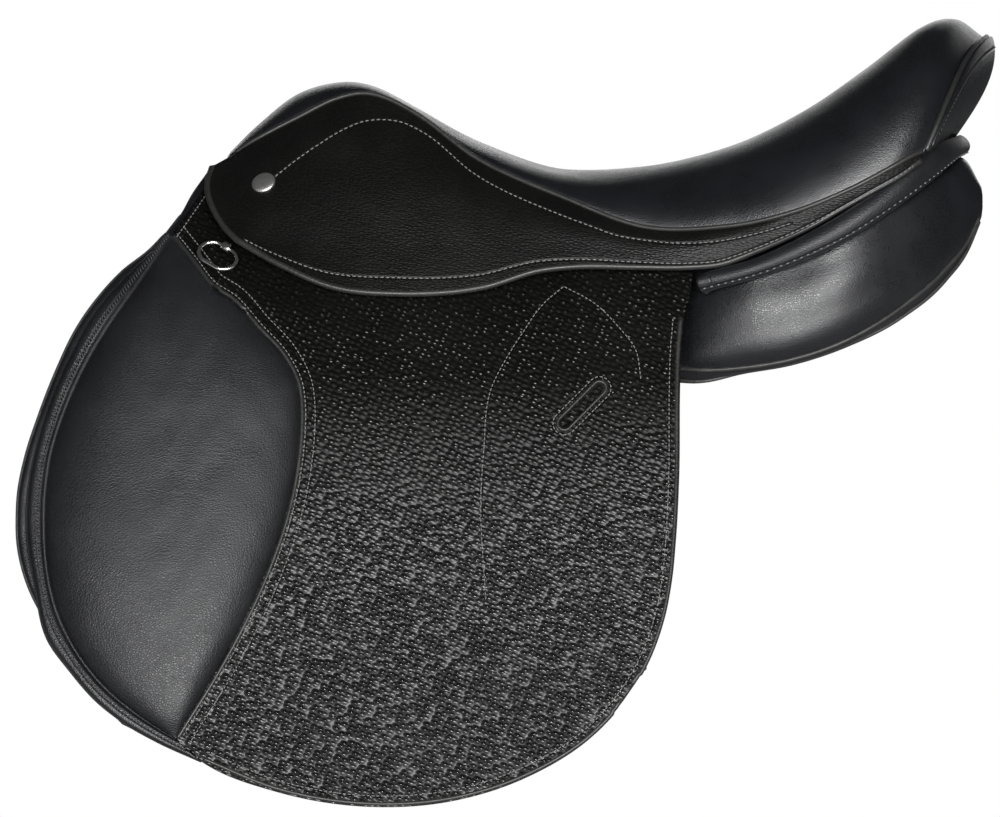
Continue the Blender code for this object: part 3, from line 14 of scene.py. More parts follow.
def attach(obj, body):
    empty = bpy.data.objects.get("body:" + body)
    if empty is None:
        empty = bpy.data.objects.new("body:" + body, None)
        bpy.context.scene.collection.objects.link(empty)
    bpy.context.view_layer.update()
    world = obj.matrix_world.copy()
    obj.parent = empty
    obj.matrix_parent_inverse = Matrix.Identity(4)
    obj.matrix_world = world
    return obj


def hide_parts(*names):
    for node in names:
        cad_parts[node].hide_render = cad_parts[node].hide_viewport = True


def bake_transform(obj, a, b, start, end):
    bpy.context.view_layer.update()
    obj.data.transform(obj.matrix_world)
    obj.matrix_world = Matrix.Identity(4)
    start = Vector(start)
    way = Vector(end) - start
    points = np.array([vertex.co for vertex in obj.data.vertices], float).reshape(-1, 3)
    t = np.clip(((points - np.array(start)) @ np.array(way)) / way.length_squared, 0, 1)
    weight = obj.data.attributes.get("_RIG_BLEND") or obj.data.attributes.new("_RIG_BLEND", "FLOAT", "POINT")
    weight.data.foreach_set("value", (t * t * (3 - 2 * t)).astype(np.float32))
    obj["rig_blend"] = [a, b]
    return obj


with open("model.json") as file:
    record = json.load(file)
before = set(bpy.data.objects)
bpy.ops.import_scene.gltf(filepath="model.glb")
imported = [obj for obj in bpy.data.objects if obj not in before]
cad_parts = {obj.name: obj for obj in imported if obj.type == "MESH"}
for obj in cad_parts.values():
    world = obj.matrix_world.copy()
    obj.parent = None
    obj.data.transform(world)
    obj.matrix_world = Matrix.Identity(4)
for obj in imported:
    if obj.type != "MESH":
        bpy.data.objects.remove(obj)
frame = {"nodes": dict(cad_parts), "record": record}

LOG = logging.getLogger("pony_saddle")
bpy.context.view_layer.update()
MM = 0.001
ROOT = "saddle"
FAR = 0.05
Points = list[tuple[float, ...]]


class Side(Enum):
    """Side of the saddle, with its sign along Y."""

    LEFT = -1
    RIGHT = 1

    @property
    def label(self) -> str:
        """Ending of the names on this side."""
        return self.name.lower()

    @property
    def mirror(self) -> np.ndarray:
        """Factor that turns (x, half width, z) into a place on this side."""
        return np.array([1.0, float(self.value), 1.0])


class Slot(Enum):
    """Material slots of the record."""

    CALF = "smooth_calf"
    PRINT = "printed_leather"
    LINING = "lining_calf"
    STRAP = "strap_hide"
    PLASTIC = "tree_plastic"
    WEB = "webbing"
    FOAM = "foam"
    NICKEL = "bright_nickel"
    STEEL = "forged_steel"


# Curves and grids


def hermite(knots: np.ndarray, values: np.ndarray, at: np.ndarray) -> np.ndarray:
    """Smooth curve through values at rising knots.

    Args:
        knots: rising parameters of the values.
        values: one number or one row for each knot.
        at: parameters to read.

    Returns:
        The values at those parameters.
    """
    knots = np.asarray(knots, float)
    values = np.asarray(values, float)
    at = np.clip(np.asarray(at, float), knots[0], knots[-1])
    slopes = np.gradient(values, knots, axis=0)
    i = np.clip(np.searchsorted(knots, at, side="right") - 1, 0, len(knots) - 2)
    step = knots[i + 1] - knots[i]
    s = (at - knots[i]) / step
    if values.ndim > 1:
        s = s[..., None]
        step = step[..., None]
    start = (1 + 2 * s) * (1 - s) ** 2 * values[i] + s * (1 - s) ** 2 * step * slopes[i]
    return start + s * s * (3 - 2 * s) * values[i + 1] + s * s * (s - 1) * step * slopes[i + 1]


def arc_length(path: np.ndarray) -> np.ndarray:
    """Distance along a path at each of its points."""
    return np.r_[0.0, np.cumsum(np.linalg.norm(np.diff(path, axis=0), axis=1))]


def along(points: Points, count: int) -> np.ndarray:
    """Evenly spaced points on a smooth curve.

    Args:
        points: places on the curve in millimetres.
        count: number of points wanted.

    Returns:
        The points in metres.
    """
    path = np.asarray(points, float) * MM
    knots = arc_length(path)
    fine = hermite(knots, path, np.linspace(0.0, knots[-1], 12 * len(path)))
    return evenly(fine, count)


def evenly(path: np.ndarray, count: int) -> np.ndarray:
    """Evenly spaced points on a polyline."""
    knots = arc_length(path)
    places = np.linspace(0.0, knots[-1], count)
    return np.stack([np.interp(places, knots, path[:, i]) for i in range(path.shape[1])], -1)


def chain(*runs: np.ndarray) -> np.ndarray:
    """Join runs of points that share their end points."""
    return np.concatenate([runs[0]] + [run[1:] for run in runs[1:]])


def coons(top: np.ndarray, bottom: np.ndarray, front: np.ndarray, rear: np.ndarray) -> np.ndarray:
    """Grid that fills four boundary rows; front and rear run from the top to the bottom."""
    u = np.linspace(0, 1, len(top))[None, :, None]
    v = np.linspace(0, 1, len(front))[:, None, None]
    edges = (1 - v) * top[None] + v * bottom[None] + (1 - u) * front[:, None] + u * rear[:, None]
    corners = ((1 - u) * (1 - v) * top[0] + u * (1 - v) * top[-1]
               + (1 - u) * v * bottom[0] + u * v * bottom[-1])
    return edges - corners


def smoothstep(x: np.ndarray) -> np.ndarray:
    """Ease from 0 to 1."""
    x = np.clip(x, 0.0, 1.0)
    return x * x * (3 - 2 * x)


def unit(vectors: np.ndarray) -> np.ndarray:
    """Vectors of length one."""
    return vectors / np.maximum(np.linalg.norm(vectors, axis=-1, keepdims=True), 1e-12)


def grid_normals(grid: np.ndarray) -> np.ndarray:
    """Unit normals of a grid, on the side from which its columns and rows turn left."""
    return unit(np.cross(np.gradient(grid, axis=1), np.gradient(grid, axis=0)))


def grid_faces(rows: int, columns: int) -> np.ndarray:
    """Quads of a grid, facing the way of grid_normals."""
    a = (np.arange(rows - 1)[:, None] * columns + np.arange(columns - 1)[None]).ravel()
    return np.stack([a, a + 1, a + columns + 1, a + columns], -1)


def facing(grid: np.ndarray, outward: tuple[float, float, float]) -> np.ndarray:
    """The grid with its columns turned round if it faces the wrong way."""
    way = (grid_normals(grid) @ np.array(outward, float)).sum()
    return grid if way > 0 else grid[:, ::-1]
def on_side(flat: np.ndarray, half_width: np.ndarray, side: Side) -> np.ndarray:
    """Grid of (x, z) points at a half width, facing outward on a side."""
    grid = np.stack([flat[..., 0], half_width, flat[..., 1]], -1) * side.mirror
    return facing(grid, (0, side.value, 0))


def shares(count: int) -> np.ndarray:
    """Shares from 0 to 1 for the rows of a grid."""
    return np.linspace(0, 1, count)[:, None, None]


def ruled(first: np.ndarray, last: np.ndarray, share: np.ndarray) -> np.ndarray:
    """Rows at shares of the way from one curve to another."""
    return first[None] * (1 - share) + last[None] * share


def both_sides(half: np.ndarray, axis: int = 0) -> np.ndarray:
    """Whole curve or grid from a right half that ends on the middle plane."""
    back = np.delete(np.flip(half, axis), 0, axis)
    return np.concatenate([half * Side.LEFT.mirror, back], axis)

# Meshes


@dataclass
class Shape:
    """Points and faces of one stretch of a piece."""

    points: np.ndarray
    faces: list[tuple[int, ...]]


def rounded_sheet(grid: np.ndarray, thickness: float, steps: int = 4) -> Shape:
    """Closed sheet under a grid, with half-round edges.

    Args:
        grid: points of the outer face, rows by columns.
        thickness: thickness in metres.
        steps: number of facets round the edge.

    Returns:
        The closed shape.
    """
    rows, columns = grid.shape[:2]
    normals = grid_normals(grid)
    inner = grid - normals * thickness
    index = np.arange(rows * columns).reshape(rows, columns)
    loop = np.r_[index[0, :-1], index[:-1, -1], index[-1, :0:-1], index[:0:-1, 0]]
    pull = np.zeros_like(grid)
    pull[0] += grid[0] - grid[1]
    pull[-1] += grid[-1] - grid[-2]
    pull[:, 0] += unit(grid[:, 0] - grid[:, 1]) * np.linalg.norm(pull[:, 0], axis=1).max()
    pull[:, -1] += unit(grid[:, -1] - grid[:, -2]) * np.linalg.norm(pull[:, -1], axis=1).max()
    flat, pulls, ups = grid.reshape(-1, 3)[loop], pull.reshape(-1, 3)[loop], normals.reshape(-1, 3)[loop]
    pulls = unit(pulls - ups * (pulls * ups).sum(-1, keepdims=True))
    middle = flat - ups * (thickness / 2)
    rings = []
    for step in range(1, steps):
        turn = math.pi * step / steps
        rings.append(middle + (ups * math.cos(turn) + pulls * math.sin(turn)) * (thickness / 2))
    points = np.concatenate([grid.reshape(-1, 3), inner.reshape(-1, 3)] + rings)
    outer_faces = grid_faces(rows, columns)
    faces = [tuple(f) for f in outer_faces] + [tuple(f[::-1] + rows * columns) for f in outer_faces]
    count = len(loop)
    base = 2 * rows * columns
    levels = [loop] + [base + k * count + np.arange(count) for k in range(steps - 1)]
    levels.append(loop + rows * columns)
    for low, high in zip(levels, levels[1:]):
        for i in range(count):
            j = (i + 1) % count
            faces.append((low[j], low[i], high[i], high[j]))
    return Shape(points, faces)


def tube(path: np.ndarray, radius: float, sides: int = 8, closed: bool = False,
         flatten: float = 1.0, up: np.ndarray | None = None) -> Shape:
    """Round or flattened tube along a path.

    Args:
        path: points of the middle line.
        radius: radius in metres.
        sides: number of sides.
        closed: whether the path is a ring.
        flatten: height of the section as a share of its width.
        up: direction of the height at each point, or None for any.

    Returns:
        The tube, closed at its ends.
    """
    if closed:
        tangents = unit(np.roll(path, -1, axis=0) - np.roll(path, 1, axis=0))
    else:
        tangents = unit(np.gradient(path, axis=0))
    if up is None:
        guide = np.array([0.12, 0.31, 0.94])
        ups = []
        for tangent in tangents:
            guide = unit(guide - tangent * (guide @ tangent))
            ups.append(guide)
        up = np.array(ups)
    up = unit(up - tangents * (up * tangents).sum(-1, keepdims=True))
    across = np.cross(tangents, up)
    turns = np.linspace(0, 2 * math.pi, sides, endpoint=False)
    rings = (path[:, None] + across[:, None] * (radius * np.cos(turns))[None, :, None]
             + up[:, None] * (radius * flatten * np.sin(turns))[None, :, None])
    return loft(rings, closed)


def loft(rings: np.ndarray, closed: bool = False) -> Shape:
    """Skin over rings of equal point counts, with flat ends unless it closes on itself."""
    rows, count = rings.shape[:2]
    faces = []
    for j in range(rows if closed else rows - 1):
        k = (j + 1) % rows
        for i in range(count):
            n = (i + 1) % count
            faces.append((j * count + i, k * count + i, k * count + n, j * count + n))
    if not closed:
        faces.append(tuple(range(count)))
        faces.append(tuple(range((rows - 1) * count, rows * count))[::-1])
    return Shape(rings.reshape(-1, 3), faces)


def turned_loft(rings: np.ndarray, side: Side) -> Shape:
    """Skin over rings that were mirrored to a side, with its faces outward."""
    return loft(rings if side is Side.LEFT else rings[:, ::-1])


def stitch_row(path: np.ndarray, normals: np.ndarray, thread: "Thread") -> Shape | None:
    """Row of sewn stitches along a path on a surface.

    Args:
        path: points on the surface.
        normals: outward normals there.
        thread: pitch, length, radius and slant of the stitches.

    Returns:
        The stitches as one shape, or None where the path is too short.
    """
    knots = arc_length(path)
    count = int(knots[-1] / thread.pitch)
    if count < 1:
        return None
    places = (np.arange(count) + 0.5) * (knots[-1] / count)
    centres = np.stack([np.interp(places, knots, path[:, i]) for i in range(3)], -1)
    ups = unit(np.stack([np.interp(places, knots, normals[:, i]) for i in range(3)], -1))
    ahead = np.stack([np.interp(places + thread.pitch / 2, knots, path[:, i]) for i in range(3)], -1)
    behind = np.stack([np.interp(places - thread.pitch / 2, knots, path[:, i]) for i in range(3)], -1)
    runs = unit(ahead - behind)
    runs = unit(runs - ups * (runs * ups).sum(-1, keepdims=True))
    across = np.cross(ups, runs)
    slant = math.radians(thread.slant)
    runs, across = (runs * math.cos(slant) + across * math.sin(slant),
                    across * math.cos(slant) - runs * math.sin(slant))
    half, r = thread.length / 2, thread.radius
    turns = np.linspace(0, 2 * math.pi, 6, endpoint=False)
    template = [(-half, 0.0, -r)]
    for share, size in ((-0.78, 0.8), (0.0, 1.0), (0.78, 0.8)):
        lift = r * (0.55 if share == 0.0 else 0.25)
        template += [(share * half, r * size * math.cos(t), lift + r * size * math.sin(t)) for t in turns]
    template.append((half, 0.0, -r))
    shape = np.array(template)
    points = (centres[:, None] + runs[:, None] * shape[None, :, :1] + across[:, None] * shape[None, :, 1:2]
              + ups[:, None] * shape[None, :, 2:])
    one = []
    for i in range(6):
        n = (i + 1) % 6
        one.append((0, 1 + n, 1 + i))
        one += [(1 + 6 * k + i, 1 + 6 * k + n, 7 + 6 * k + n, 7 + 6 * k + i) for k in range(2)]
        one.append((13 + i, 13 + n, 19))
    faces = [tuple(v + 20 * s for v in face) for s in range(count) for face in one]
    return Shape(points.reshape(-1, 3), faces)


@dataclass(frozen=True)
class Thread:
    """Sewing thread: how long, thick and slanted its stitches are."""

    pitch: float = 0.0026
    length: float = 0.0020
    radius: float = 0.00032
    slant: float = 0.0


SEAM = Thread()
LONG_SEAM = Thread(pitch=0.0031, length=0.0023, radius=0.00034)
PRESSED = Thread(pitch=0.0021, length=0.0042, radius=0.00042, slant=52.0)
DARK_SEAM = Thread(pitch=0.0040, length=0.0017, radius=0.00038)


class Piece:
    """Geometry of one piece, gathered shape by shape and made into one object."""

    def __init__(self, name: str) -> None:
        """Start an empty piece.

        Args:
            name: name of the object.
        """
        self.name = name
        self.shapes: list[tuple[Shape, bpy.types.Material]] = []
        self.seams: list[np.ndarray] = []
        self.edges: list[np.ndarray] = []

    def add(self, shape: Shape | None, material: bpy.types.Material) -> None:
        """Add a shape in one material."""
        if shape is not None:
            self.shapes.append((shape, material))

    def carrier(self) -> BVHTree:
        """Search tree over the piece's first shape, for laying paths on it."""
        shape = self.shapes[0][0]
        return BVHTree.FromPolygons([tuple(p) for p in shape.points], shape.faces)

    def sew(self, path: np.ndarray, normals: np.ndarray, thread: Thread,
            material: bpy.types.Material) -> None:
        """Add a row of stitches and remember it as a seam."""
        if len(path) > 2:
            self.add(stitch_row(path, normals, thread), material)
            self.seams.append(path)

    def make(self) -> bpy.types.Object:
        """Make the object.


        Returns:
            The mesh object, with its rest place and its distances to seams and edges kept on
            its points for the materials.
        """
        mesh = bpy.data.meshes.new(self.name)
        materials: list[bpy.types.Material] = []
        faces, owners, offset = [], [], 0
        for shape, material in self.shapes:
            if material not in materials:
                materials.append(material)
            faces += [tuple(int(v) + offset for v in face) for face in shape.faces]
            owners += [materials.index(material)] * len(shape.faces)
            offset += len(shape.points)
        points = np.concatenate([shape.points for shape, _ in self.shapes])
        mesh.from_pydata(points.tolist(), [], faces)
        for material in materials:
            mesh.materials.append(material)
        mesh.polygons.foreach_set("material_index", owners)
        mesh.shade_smooth()
        rest = mesh.attributes.new("rest", "FLOAT_VECTOR", "POINT")
        rest.data.foreach_set("vector", points.astype(np.float32).ravel())
        for name, lines in (("seam_distance", self.seams), ("edge_distance", self.edges)):
            attribute = mesh.attributes.new(name, "FLOAT", "POINT")
            attribute.data.foreach_set("value", nearest(points, lines))
        mesh.update()
        item = bpy.data.objects.new(self.name, mesh)
        bpy.context.scene.collection.objects.link(item)
        return item


def nearest(points: np.ndarray, lines: list[np.ndarray]) -> np.ndarray:
    """Distance from each point to the nearest of some lines, at most FAR."""
    if not lines:
        return np.full(len(points), FAR, np.float32)
    fine = np.concatenate([evenly(line, max(2, int(arc_length(line)[-1] / 0.0008))) for line in lines])
    tree = KDTree(len(fine))
    for i, place in enumerate(fine):
        tree.insert(place, i)
    tree.balance()
    return np.array([min(tree.find(p)[2], FAR) for p in points], np.float32)


def drape(tree: BVHTree, path: np.ndarray, side: Side, lift: float = 0.0) -> tuple[np.ndarray, np.ndarray]:
    """Lay a side-view path on a surface.

    Args:
        tree: search tree of the surface.
        path: (x, z) points in metres.
        side: side of the saddle.
        lift: height above the surface.

    Returns:
        The points on the surface and its normals there.
    """
    places, normals = [], []
    inward = Vector((0.0, -side.value, 0.0))
    for x, z in path:
        hit, normal, _, _ = tree.ray_cast(Vector((x, side.value * 0.6, z)), inward)
        if hit is None:
            continue
        if normal.dot(inward) > 0:
            normal = -normal
        places.append(np.array(hit) + np.array(normal) * lift)
        normals.append(np.array(normal))
    return np.array(places), np.array(normals)


def side_view(points: Points, spacing: float = 0.0015) -> np.ndarray:
    """Even (x, z) points on a smooth side-view curve given in millimetres."""
    rough = along(points, 200)
    return evenly(rough, max(3, int(arc_length(rough)[-1] / spacing)))
def subtract(item: bpy.types.Object, name: str, rings: np.ndarray) -> None:
    """Cut a prism out of a mesh.

    Args:
        item: mesh object to cut.
        name: name of the cutter while it is there.
        rings: the prism's two end rings.
    """
    shape = loft(rings)
    mesh = bpy.data.meshes.new(name)
    mesh.from_pydata(shape.points.tolist(), [], shape.faces)
    cutter = bpy.data.objects.new(name, mesh)
    bpy.context.scene.collection.objects.link(cutter)
    modifier = item.modifiers.new(name, "BOOLEAN")
    modifier.object = cutter
    modifier.operation = "DIFFERENCE"
    modifier.solver = "EXACT"
    bpy.context.view_layer.objects.active = item
    bpy.ops.object.modifier_apply(modifier=modifier.name)
    bpy.data.objects.remove(cutter)


def join(sheet: bpy.types.Object, trim: bpy.types.Object, name: str) -> None:
    """Join a trim into its sheet and name the result."""
    with bpy.context.temp_override(active_object=sheet, selected_editable_objects=[sheet, trim]):
        bpy.ops.object.join()
    sheet.name = name

# Materials

DOME_REACH = 0.85
LOWEST_DOME = 0.55
EVENNESS = 0.30
BRIGHT_TOPS = (0.70, 0.92, 0.0, 0.75)
# Specular level left at the flap's top: painted shade under the skirt.
SHADED_TOP_GLOSS = 0.03
CREASE_WIDTH = 0.30
FINE_GRAIN = 0.00045
BROAD_GRAIN = 0.030
BROAD_RELIEF = 0.5
PALE = 1.35
SEAM_DIP = (0.0002, 0.0014, -0.42, 0.0)
WEAR_REACH = 0.0022
WEAR_PATCH = 0.004
class Graph:
    """A material and its shader nodes while they are being made."""

    def __init__(self, name: str, attributes: bool) -> None:
        """Start a material.

        Args:
            name: name of the material.
            attributes: whether the mesh keeps rest places and distances for it.
        """
        self.material = bpy.data.materials.new(name)
        self.material.use_nodes = True
        self.nodes = self.material.node_tree.nodes
        self.links = self.material.node_tree.links
        self.shader = self.nodes["Principled BSDF"]
        self.attributes = attributes

    def node(self, kind: str, **settings: object) -> bpy.types.Node:
        """Add a node and set its properties."""
        node = self.nodes.new(kind)
        for key, value in settings.items():
            setattr(node, key, value)
        return node

    def feed(self, socket: bpy.types.NodeSocket, value: object) -> None:
        """Link or set one input."""
        if isinstance(value, bpy.types.NodeSocket):
            self.links.new(value, socket)
        else:
            socket.default_value = value

    def place(self) -> bpy.types.NodeSocket:
        """Place on the piece at rest, in metres."""
        if self.attributes:
            return self.node("ShaderNodeAttribute", attribute_name="rest").outputs["Vector"]
        return self.node("ShaderNodeTexCoord").outputs["Object"]

    def mapped(self, vector: object, turn: tuple[float, float, float],
               scale: tuple[float, float, float]) -> bpy.types.NodeSocket:
        """Turn and scale a place."""
        node = self.node("ShaderNodeMapping")
        self.feed(node.inputs["Vector"], vector)
        node.inputs["Rotation"].default_value = turn
        node.inputs["Scale"].default_value = scale
        return node.outputs["Vector"]

    def noise(self, vector: object, size: float, detail: float = 3.0) -> bpy.types.NodeSocket:
        """Noise with features of a size in metres."""
        node = self.node("ShaderNodeTexNoise")
        self.feed(node.inputs["Vector"], vector)
        node.inputs["Scale"].default_value = 1.0 / size
        node.inputs["Detail"].default_value = detail
        return node.outputs["Fac"]

    def cells(self, vector: object, size: float) -> bpy.types.NodeSocket:
        """Distance to the edge of cells of a size in metres."""
        node = self.node("ShaderNodeTexVoronoi", feature="DISTANCE_TO_EDGE")
        self.feed(node.inputs["Vector"], vector)
        node.inputs["Scale"].default_value = 1.0 / size
        return node.outputs["Distance"]

    def pebbles(self, vector: object, size: float, even: float) -> bpy.types.NodeSocket:
        """Domes of a size in metres, each with its own height up to 1; even runs from 0 to 1."""
        node = self.node("ShaderNodeTexVoronoi", feature="F1", voronoi_dimensions="2D")
        self.feed(node.inputs["Vector"], vector)
        node.inputs["Scale"].default_value = 1.0 / size
        node.inputs["Randomness"].default_value = 1.0 - even
        dome = self.ramp(node.outputs["Distance"], 0.0, DOME_REACH, 1.0, 0.0)
        parts = self.node("ShaderNodeSeparateColor")
        self.feed(parts.inputs[0], node.outputs["Color"])
        return self.maths("MULTIPLY", dome, self.ramp(parts.outputs[0], 0.0, 1.0, LOWEST_DOME, 1.0))

    def ramp(self, value: object, low: float, high: float, start: float = 0.0,
             end: float = 1.0) -> bpy.types.NodeSocket:
        """Smooth step of a value from low to high, given as start to end."""
        node = self.node("ShaderNodeMapRange", interpolation_type="SMOOTHSTEP")
        self.feed(node.inputs["Value"], value)
        for name, number in zip(("From Min", "From Max", "To Min", "To Max"), (low, high, start, end)):
            node.inputs[name].default_value = number
        return node.outputs["Result"]

    def maths(self, operation: str, a: object, b: object) -> bpy.types.NodeSocket:
        """One sum of two values."""
        node = self.node("ShaderNodeMath", operation=operation)
        self.feed(node.inputs[0], a)
        self.feed(node.inputs[1], b)
        return node.outputs[0]

    def blend(self, share: object, a: object, b: object) -> bpy.types.NodeSocket:
        """Mix of two colours."""
        node = self.node("ShaderNodeMix", data_type="RGBA")
        self.feed(node.inputs[0], share)
        self.feed(node.inputs[6], a)
        self.feed(node.inputs[7], b)
        return node.outputs[2]

    def level(self, place: object) -> bpy.types.NodeSocket:
        """Height of a place above the frame's origin, in metres."""
        node = self.node("ShaderNodeSeparateXYZ")
        self.feed(node.inputs[0], place)
        return node.outputs["Z"]

    def side_plane(self, place: object) -> bpy.types.NodeSocket:
        """Place in the side view, as length and height."""
        split = self.node("ShaderNodeSeparateXYZ")
        self.feed(split.inputs[0], place)
        join = self.node("ShaderNodeCombineXYZ")
        self.feed(join.inputs[0], split.outputs[0])
        self.feed(join.inputs[1], split.outputs[2])
        return join.outputs[0]

    def distance(self, name: str) -> bpy.types.NodeSocket:
        """Distance kept on the mesh, in metres."""
        return self.node("ShaderNodeAttribute", attribute_name=name).outputs["Fac"]

    def relief(self, height: object) -> bpy.types.NodeSocket:
        """Bump from a height in millimetres."""
        node = self.node("ShaderNodeBump")
        node.inputs["Distance"].default_value = MM
        self.feed(node.inputs["Height"], height)
        return node.outputs["Normal"]


def rgba(colour: tuple[float, float, float]) -> tuple[float, float, float, float]:
    """Opaque colour."""
    return (*colour, 1.0)


@dataclass(frozen=True)
class Leather:
    """Leather with a grain, worn edges and drawn-in seams.

    Attributes:
        name: name of the material.
        colour: colour of the flat grain.
        worn: colour of rubbed edges.
        rough: roughness of the raised and of the sunk grain.
        grain: length and height of a grain cell in metres.
        depth: depth of the creases between cells in millimetres.
        fuzz: height of the finest grain in millimetres.
        slant: slant of the grain down to the rear in degrees.
        pebble: whether the grain is a pressed pebble print.
        press: levels in metres between which the gloss grows downward, as painted shade that
        darkens the flap's top where the skirt shades it, and the print's share at the upper one.
        gloss: specular level.
    """

    name: str
    colour: tuple[float, float, float]
    worn: tuple[float, float, float]
    rough: tuple[float, float]
    grain: tuple[float, float]
    depth: float
    fuzz: float = 0.012
    slant: float = 14.0
    pebble: bool = False
    press: tuple[float, float, float] | None = None
    gloss: float = 0.5

    def natural(self, graph: Graph, place: object) -> bpy.types.NodeSocket:
        """Creased cells of natural grain, 0 in a crease and 1 on a cell."""
        long, high = self.grain
        turned = graph.mapped(place, (0.0, math.radians(-self.slant), 0.0), (1.0, 1.0, 1.0))
        drawn = graph.mapped(turned, (0.0, 0.0, 0.0), (1.0, 1.0, long / high))
        return graph.ramp(graph.cells(drawn, long), 0.0, CREASE_WIDTH)

    def printed(self, graph: Graph, place: object) -> bpy.types.NodeSocket:
        """Pressed pebbles, 0 between them and up to 1 on their tops."""
        long, high = self.grain
        turn = (0.0, 0.0, math.radians(self.slant))
        turned = graph.mapped(graph.side_plane(place), turn, (1.0, 1.0, 1.0))
        drawn = graph.mapped(turned, (0.0, 0.0, 0.0), (1.0, long / high, 1.0))
        return graph.pebbles(drawn, long, EVENNESS)

    def pressed(self, graph: Graph, place: object, crease: object) -> bpy.types.NodeSocket:
        """Set the gloss that grows downward, which paints shade on the flap's top as if the skirt shaded it, keep
        the gloss on the dome tops, and flatten the print above.
        """
        upper, lower, share = self.press
        level = graph.level(place)
        tops = graph.ramp(crease, *BRIGHT_TOPS)
        # Specular level fades from full at the lower level to almost none at the upper one: painted shade under
        # the skirt, with the dome tops kept glossy.
        gloss = graph.maths("MAXIMUM", graph.ramp(level, lower, upper, 1.0, SHADED_TOP_GLOSS), tops)
        gloss = graph.maths("MULTIPLY", gloss, self.gloss)
        graph.feed(graph.shader.inputs["Specular IOR Level"], gloss)
        return graph.maths("MULTIPLY", crease, graph.ramp(level, lower, upper, 1.0, share))

    def build(self) -> bpy.types.Material:
        """Make the material."""
        graph = Graph(self.name, True)
        place = graph.place()
        crease = self.printed(graph, place) if self.pebble else self.natural(graph, place)
        if self.press is None:
            graph.shader.inputs["Specular IOR Level"].default_value = self.gloss
        else:
            crease = self.pressed(graph, place, crease)
        fine = graph.noise(place, FINE_GRAIN, 2.0)
        broad = graph.noise(place, BROAD_GRAIN)
        height = graph.maths("MULTIPLY", crease, self.depth)
        height = graph.maths("ADD", height, graph.maths("MULTIPLY", fine, self.fuzz))
        height = graph.maths("ADD", height, graph.maths("MULTIPLY", broad, BROAD_RELIEF))
        height = graph.maths("ADD", height, graph.ramp(graph.distance("seam_distance"), *SEAM_DIP))
        raised, sunk = self.rough
        rough = graph.ramp(crease, 0.0, 1.0, sunk, raised)
        rough = graph.maths("ADD", rough, graph.ramp(broad, 0.3, 0.7, -0.03, 0.04))
        pale = rgba(tuple(c * PALE for c in self.colour))
        colour = graph.blend(graph.ramp(broad, 0.35, 0.70), rgba(self.colour), pale)
        rub = graph.ramp(graph.distance("edge_distance"), 0.0, WEAR_REACH, 1.0, 0.0)
        patches = graph.ramp(graph.noise(place, WEAR_PATCH), 0.35, 0.65, 0.35, 1.0)
        colour = graph.blend(graph.maths("MULTIPLY", rub, patches), colour, rgba(self.worn))
        graph.feed(graph.shader.inputs["Base Color"], colour)
        graph.feed(graph.shader.inputs["Roughness"], rough)
        graph.feed(graph.shader.inputs["Normal"], graph.relief(height))
        return graph.material


@dataclass(frozen=True)
class Metal:
    """Plated or forged metal with fine scratches."""

    name: str
    colour: tuple[float, float, float]
    rough: float
    scratch: tuple[float, float]
    attributes: bool = True
    dark: float = 0.82
    rougher: float = 0.12
    relief: float = 0.012

    def build(self) -> bpy.types.Material:
        """Make the material."""
        graph = Graph(self.name, self.attributes)
        long, high = self.scratch
        drawn = graph.mapped(graph.place(), (0.0, 0.4, 0.0), (1.0, 1.0, long / high))
        lines = graph.noise(drawn, long, 4.0)
        graph.shader.inputs["Metallic"].default_value = 1.0
        dark = rgba(tuple(c * self.dark for c in self.colour))
        tone = graph.blend(graph.ramp(lines, 0.3, 0.75), rgba(self.colour), dark)
        graph.feed(graph.shader.inputs["Base Color"], tone)
        rough = graph.ramp(lines, 0.3, 0.7, self.rough, self.rough + self.rougher)
        graph.feed(graph.shader.inputs["Roughness"], rough)
        height = graph.maths("MULTIPLY", lines, self.relief)
        graph.feed(graph.shader.inputs["Normal"], graph.relief(height))
        return graph.material


@dataclass(frozen=True)
class Plain:
    """Thread, plastic, foam or web: a colour, a fine pattern and a roughness."""

    name: str
    colour: tuple[float, float, float]
    rough: float
    size: float
    depth: float
    woven: bool = False
    dark: float = 0.72
    bands: float = 0.32

    def build(self) -> bpy.types.Material:
        """Make the material."""
        graph = Graph(self.name, False)
        place = graph.place()
        if self.woven:
            wave = graph.node("ShaderNodeTexWave", wave_type="BANDS", bands_direction="DIAGONAL")
            graph.feed(wave.inputs["Vector"], place)
            wave.inputs["Scale"].default_value = self.bands / self.size
            pattern = wave.outputs["Fac"]
        else:
            pattern = graph.noise(place, self.size, 4.0)
        dark = rgba(tuple(c * self.dark for c in self.colour))
        graph.feed(graph.shader.inputs["Base Color"], graph.blend(pattern, dark, rgba(self.colour)))
        graph.shader.inputs["Roughness"].default_value = self.rough
        graph.feed(graph.shader.inputs["Normal"], graph.relief(graph.maths("MULTIPLY", pattern, self.depth)))
        return graph.material


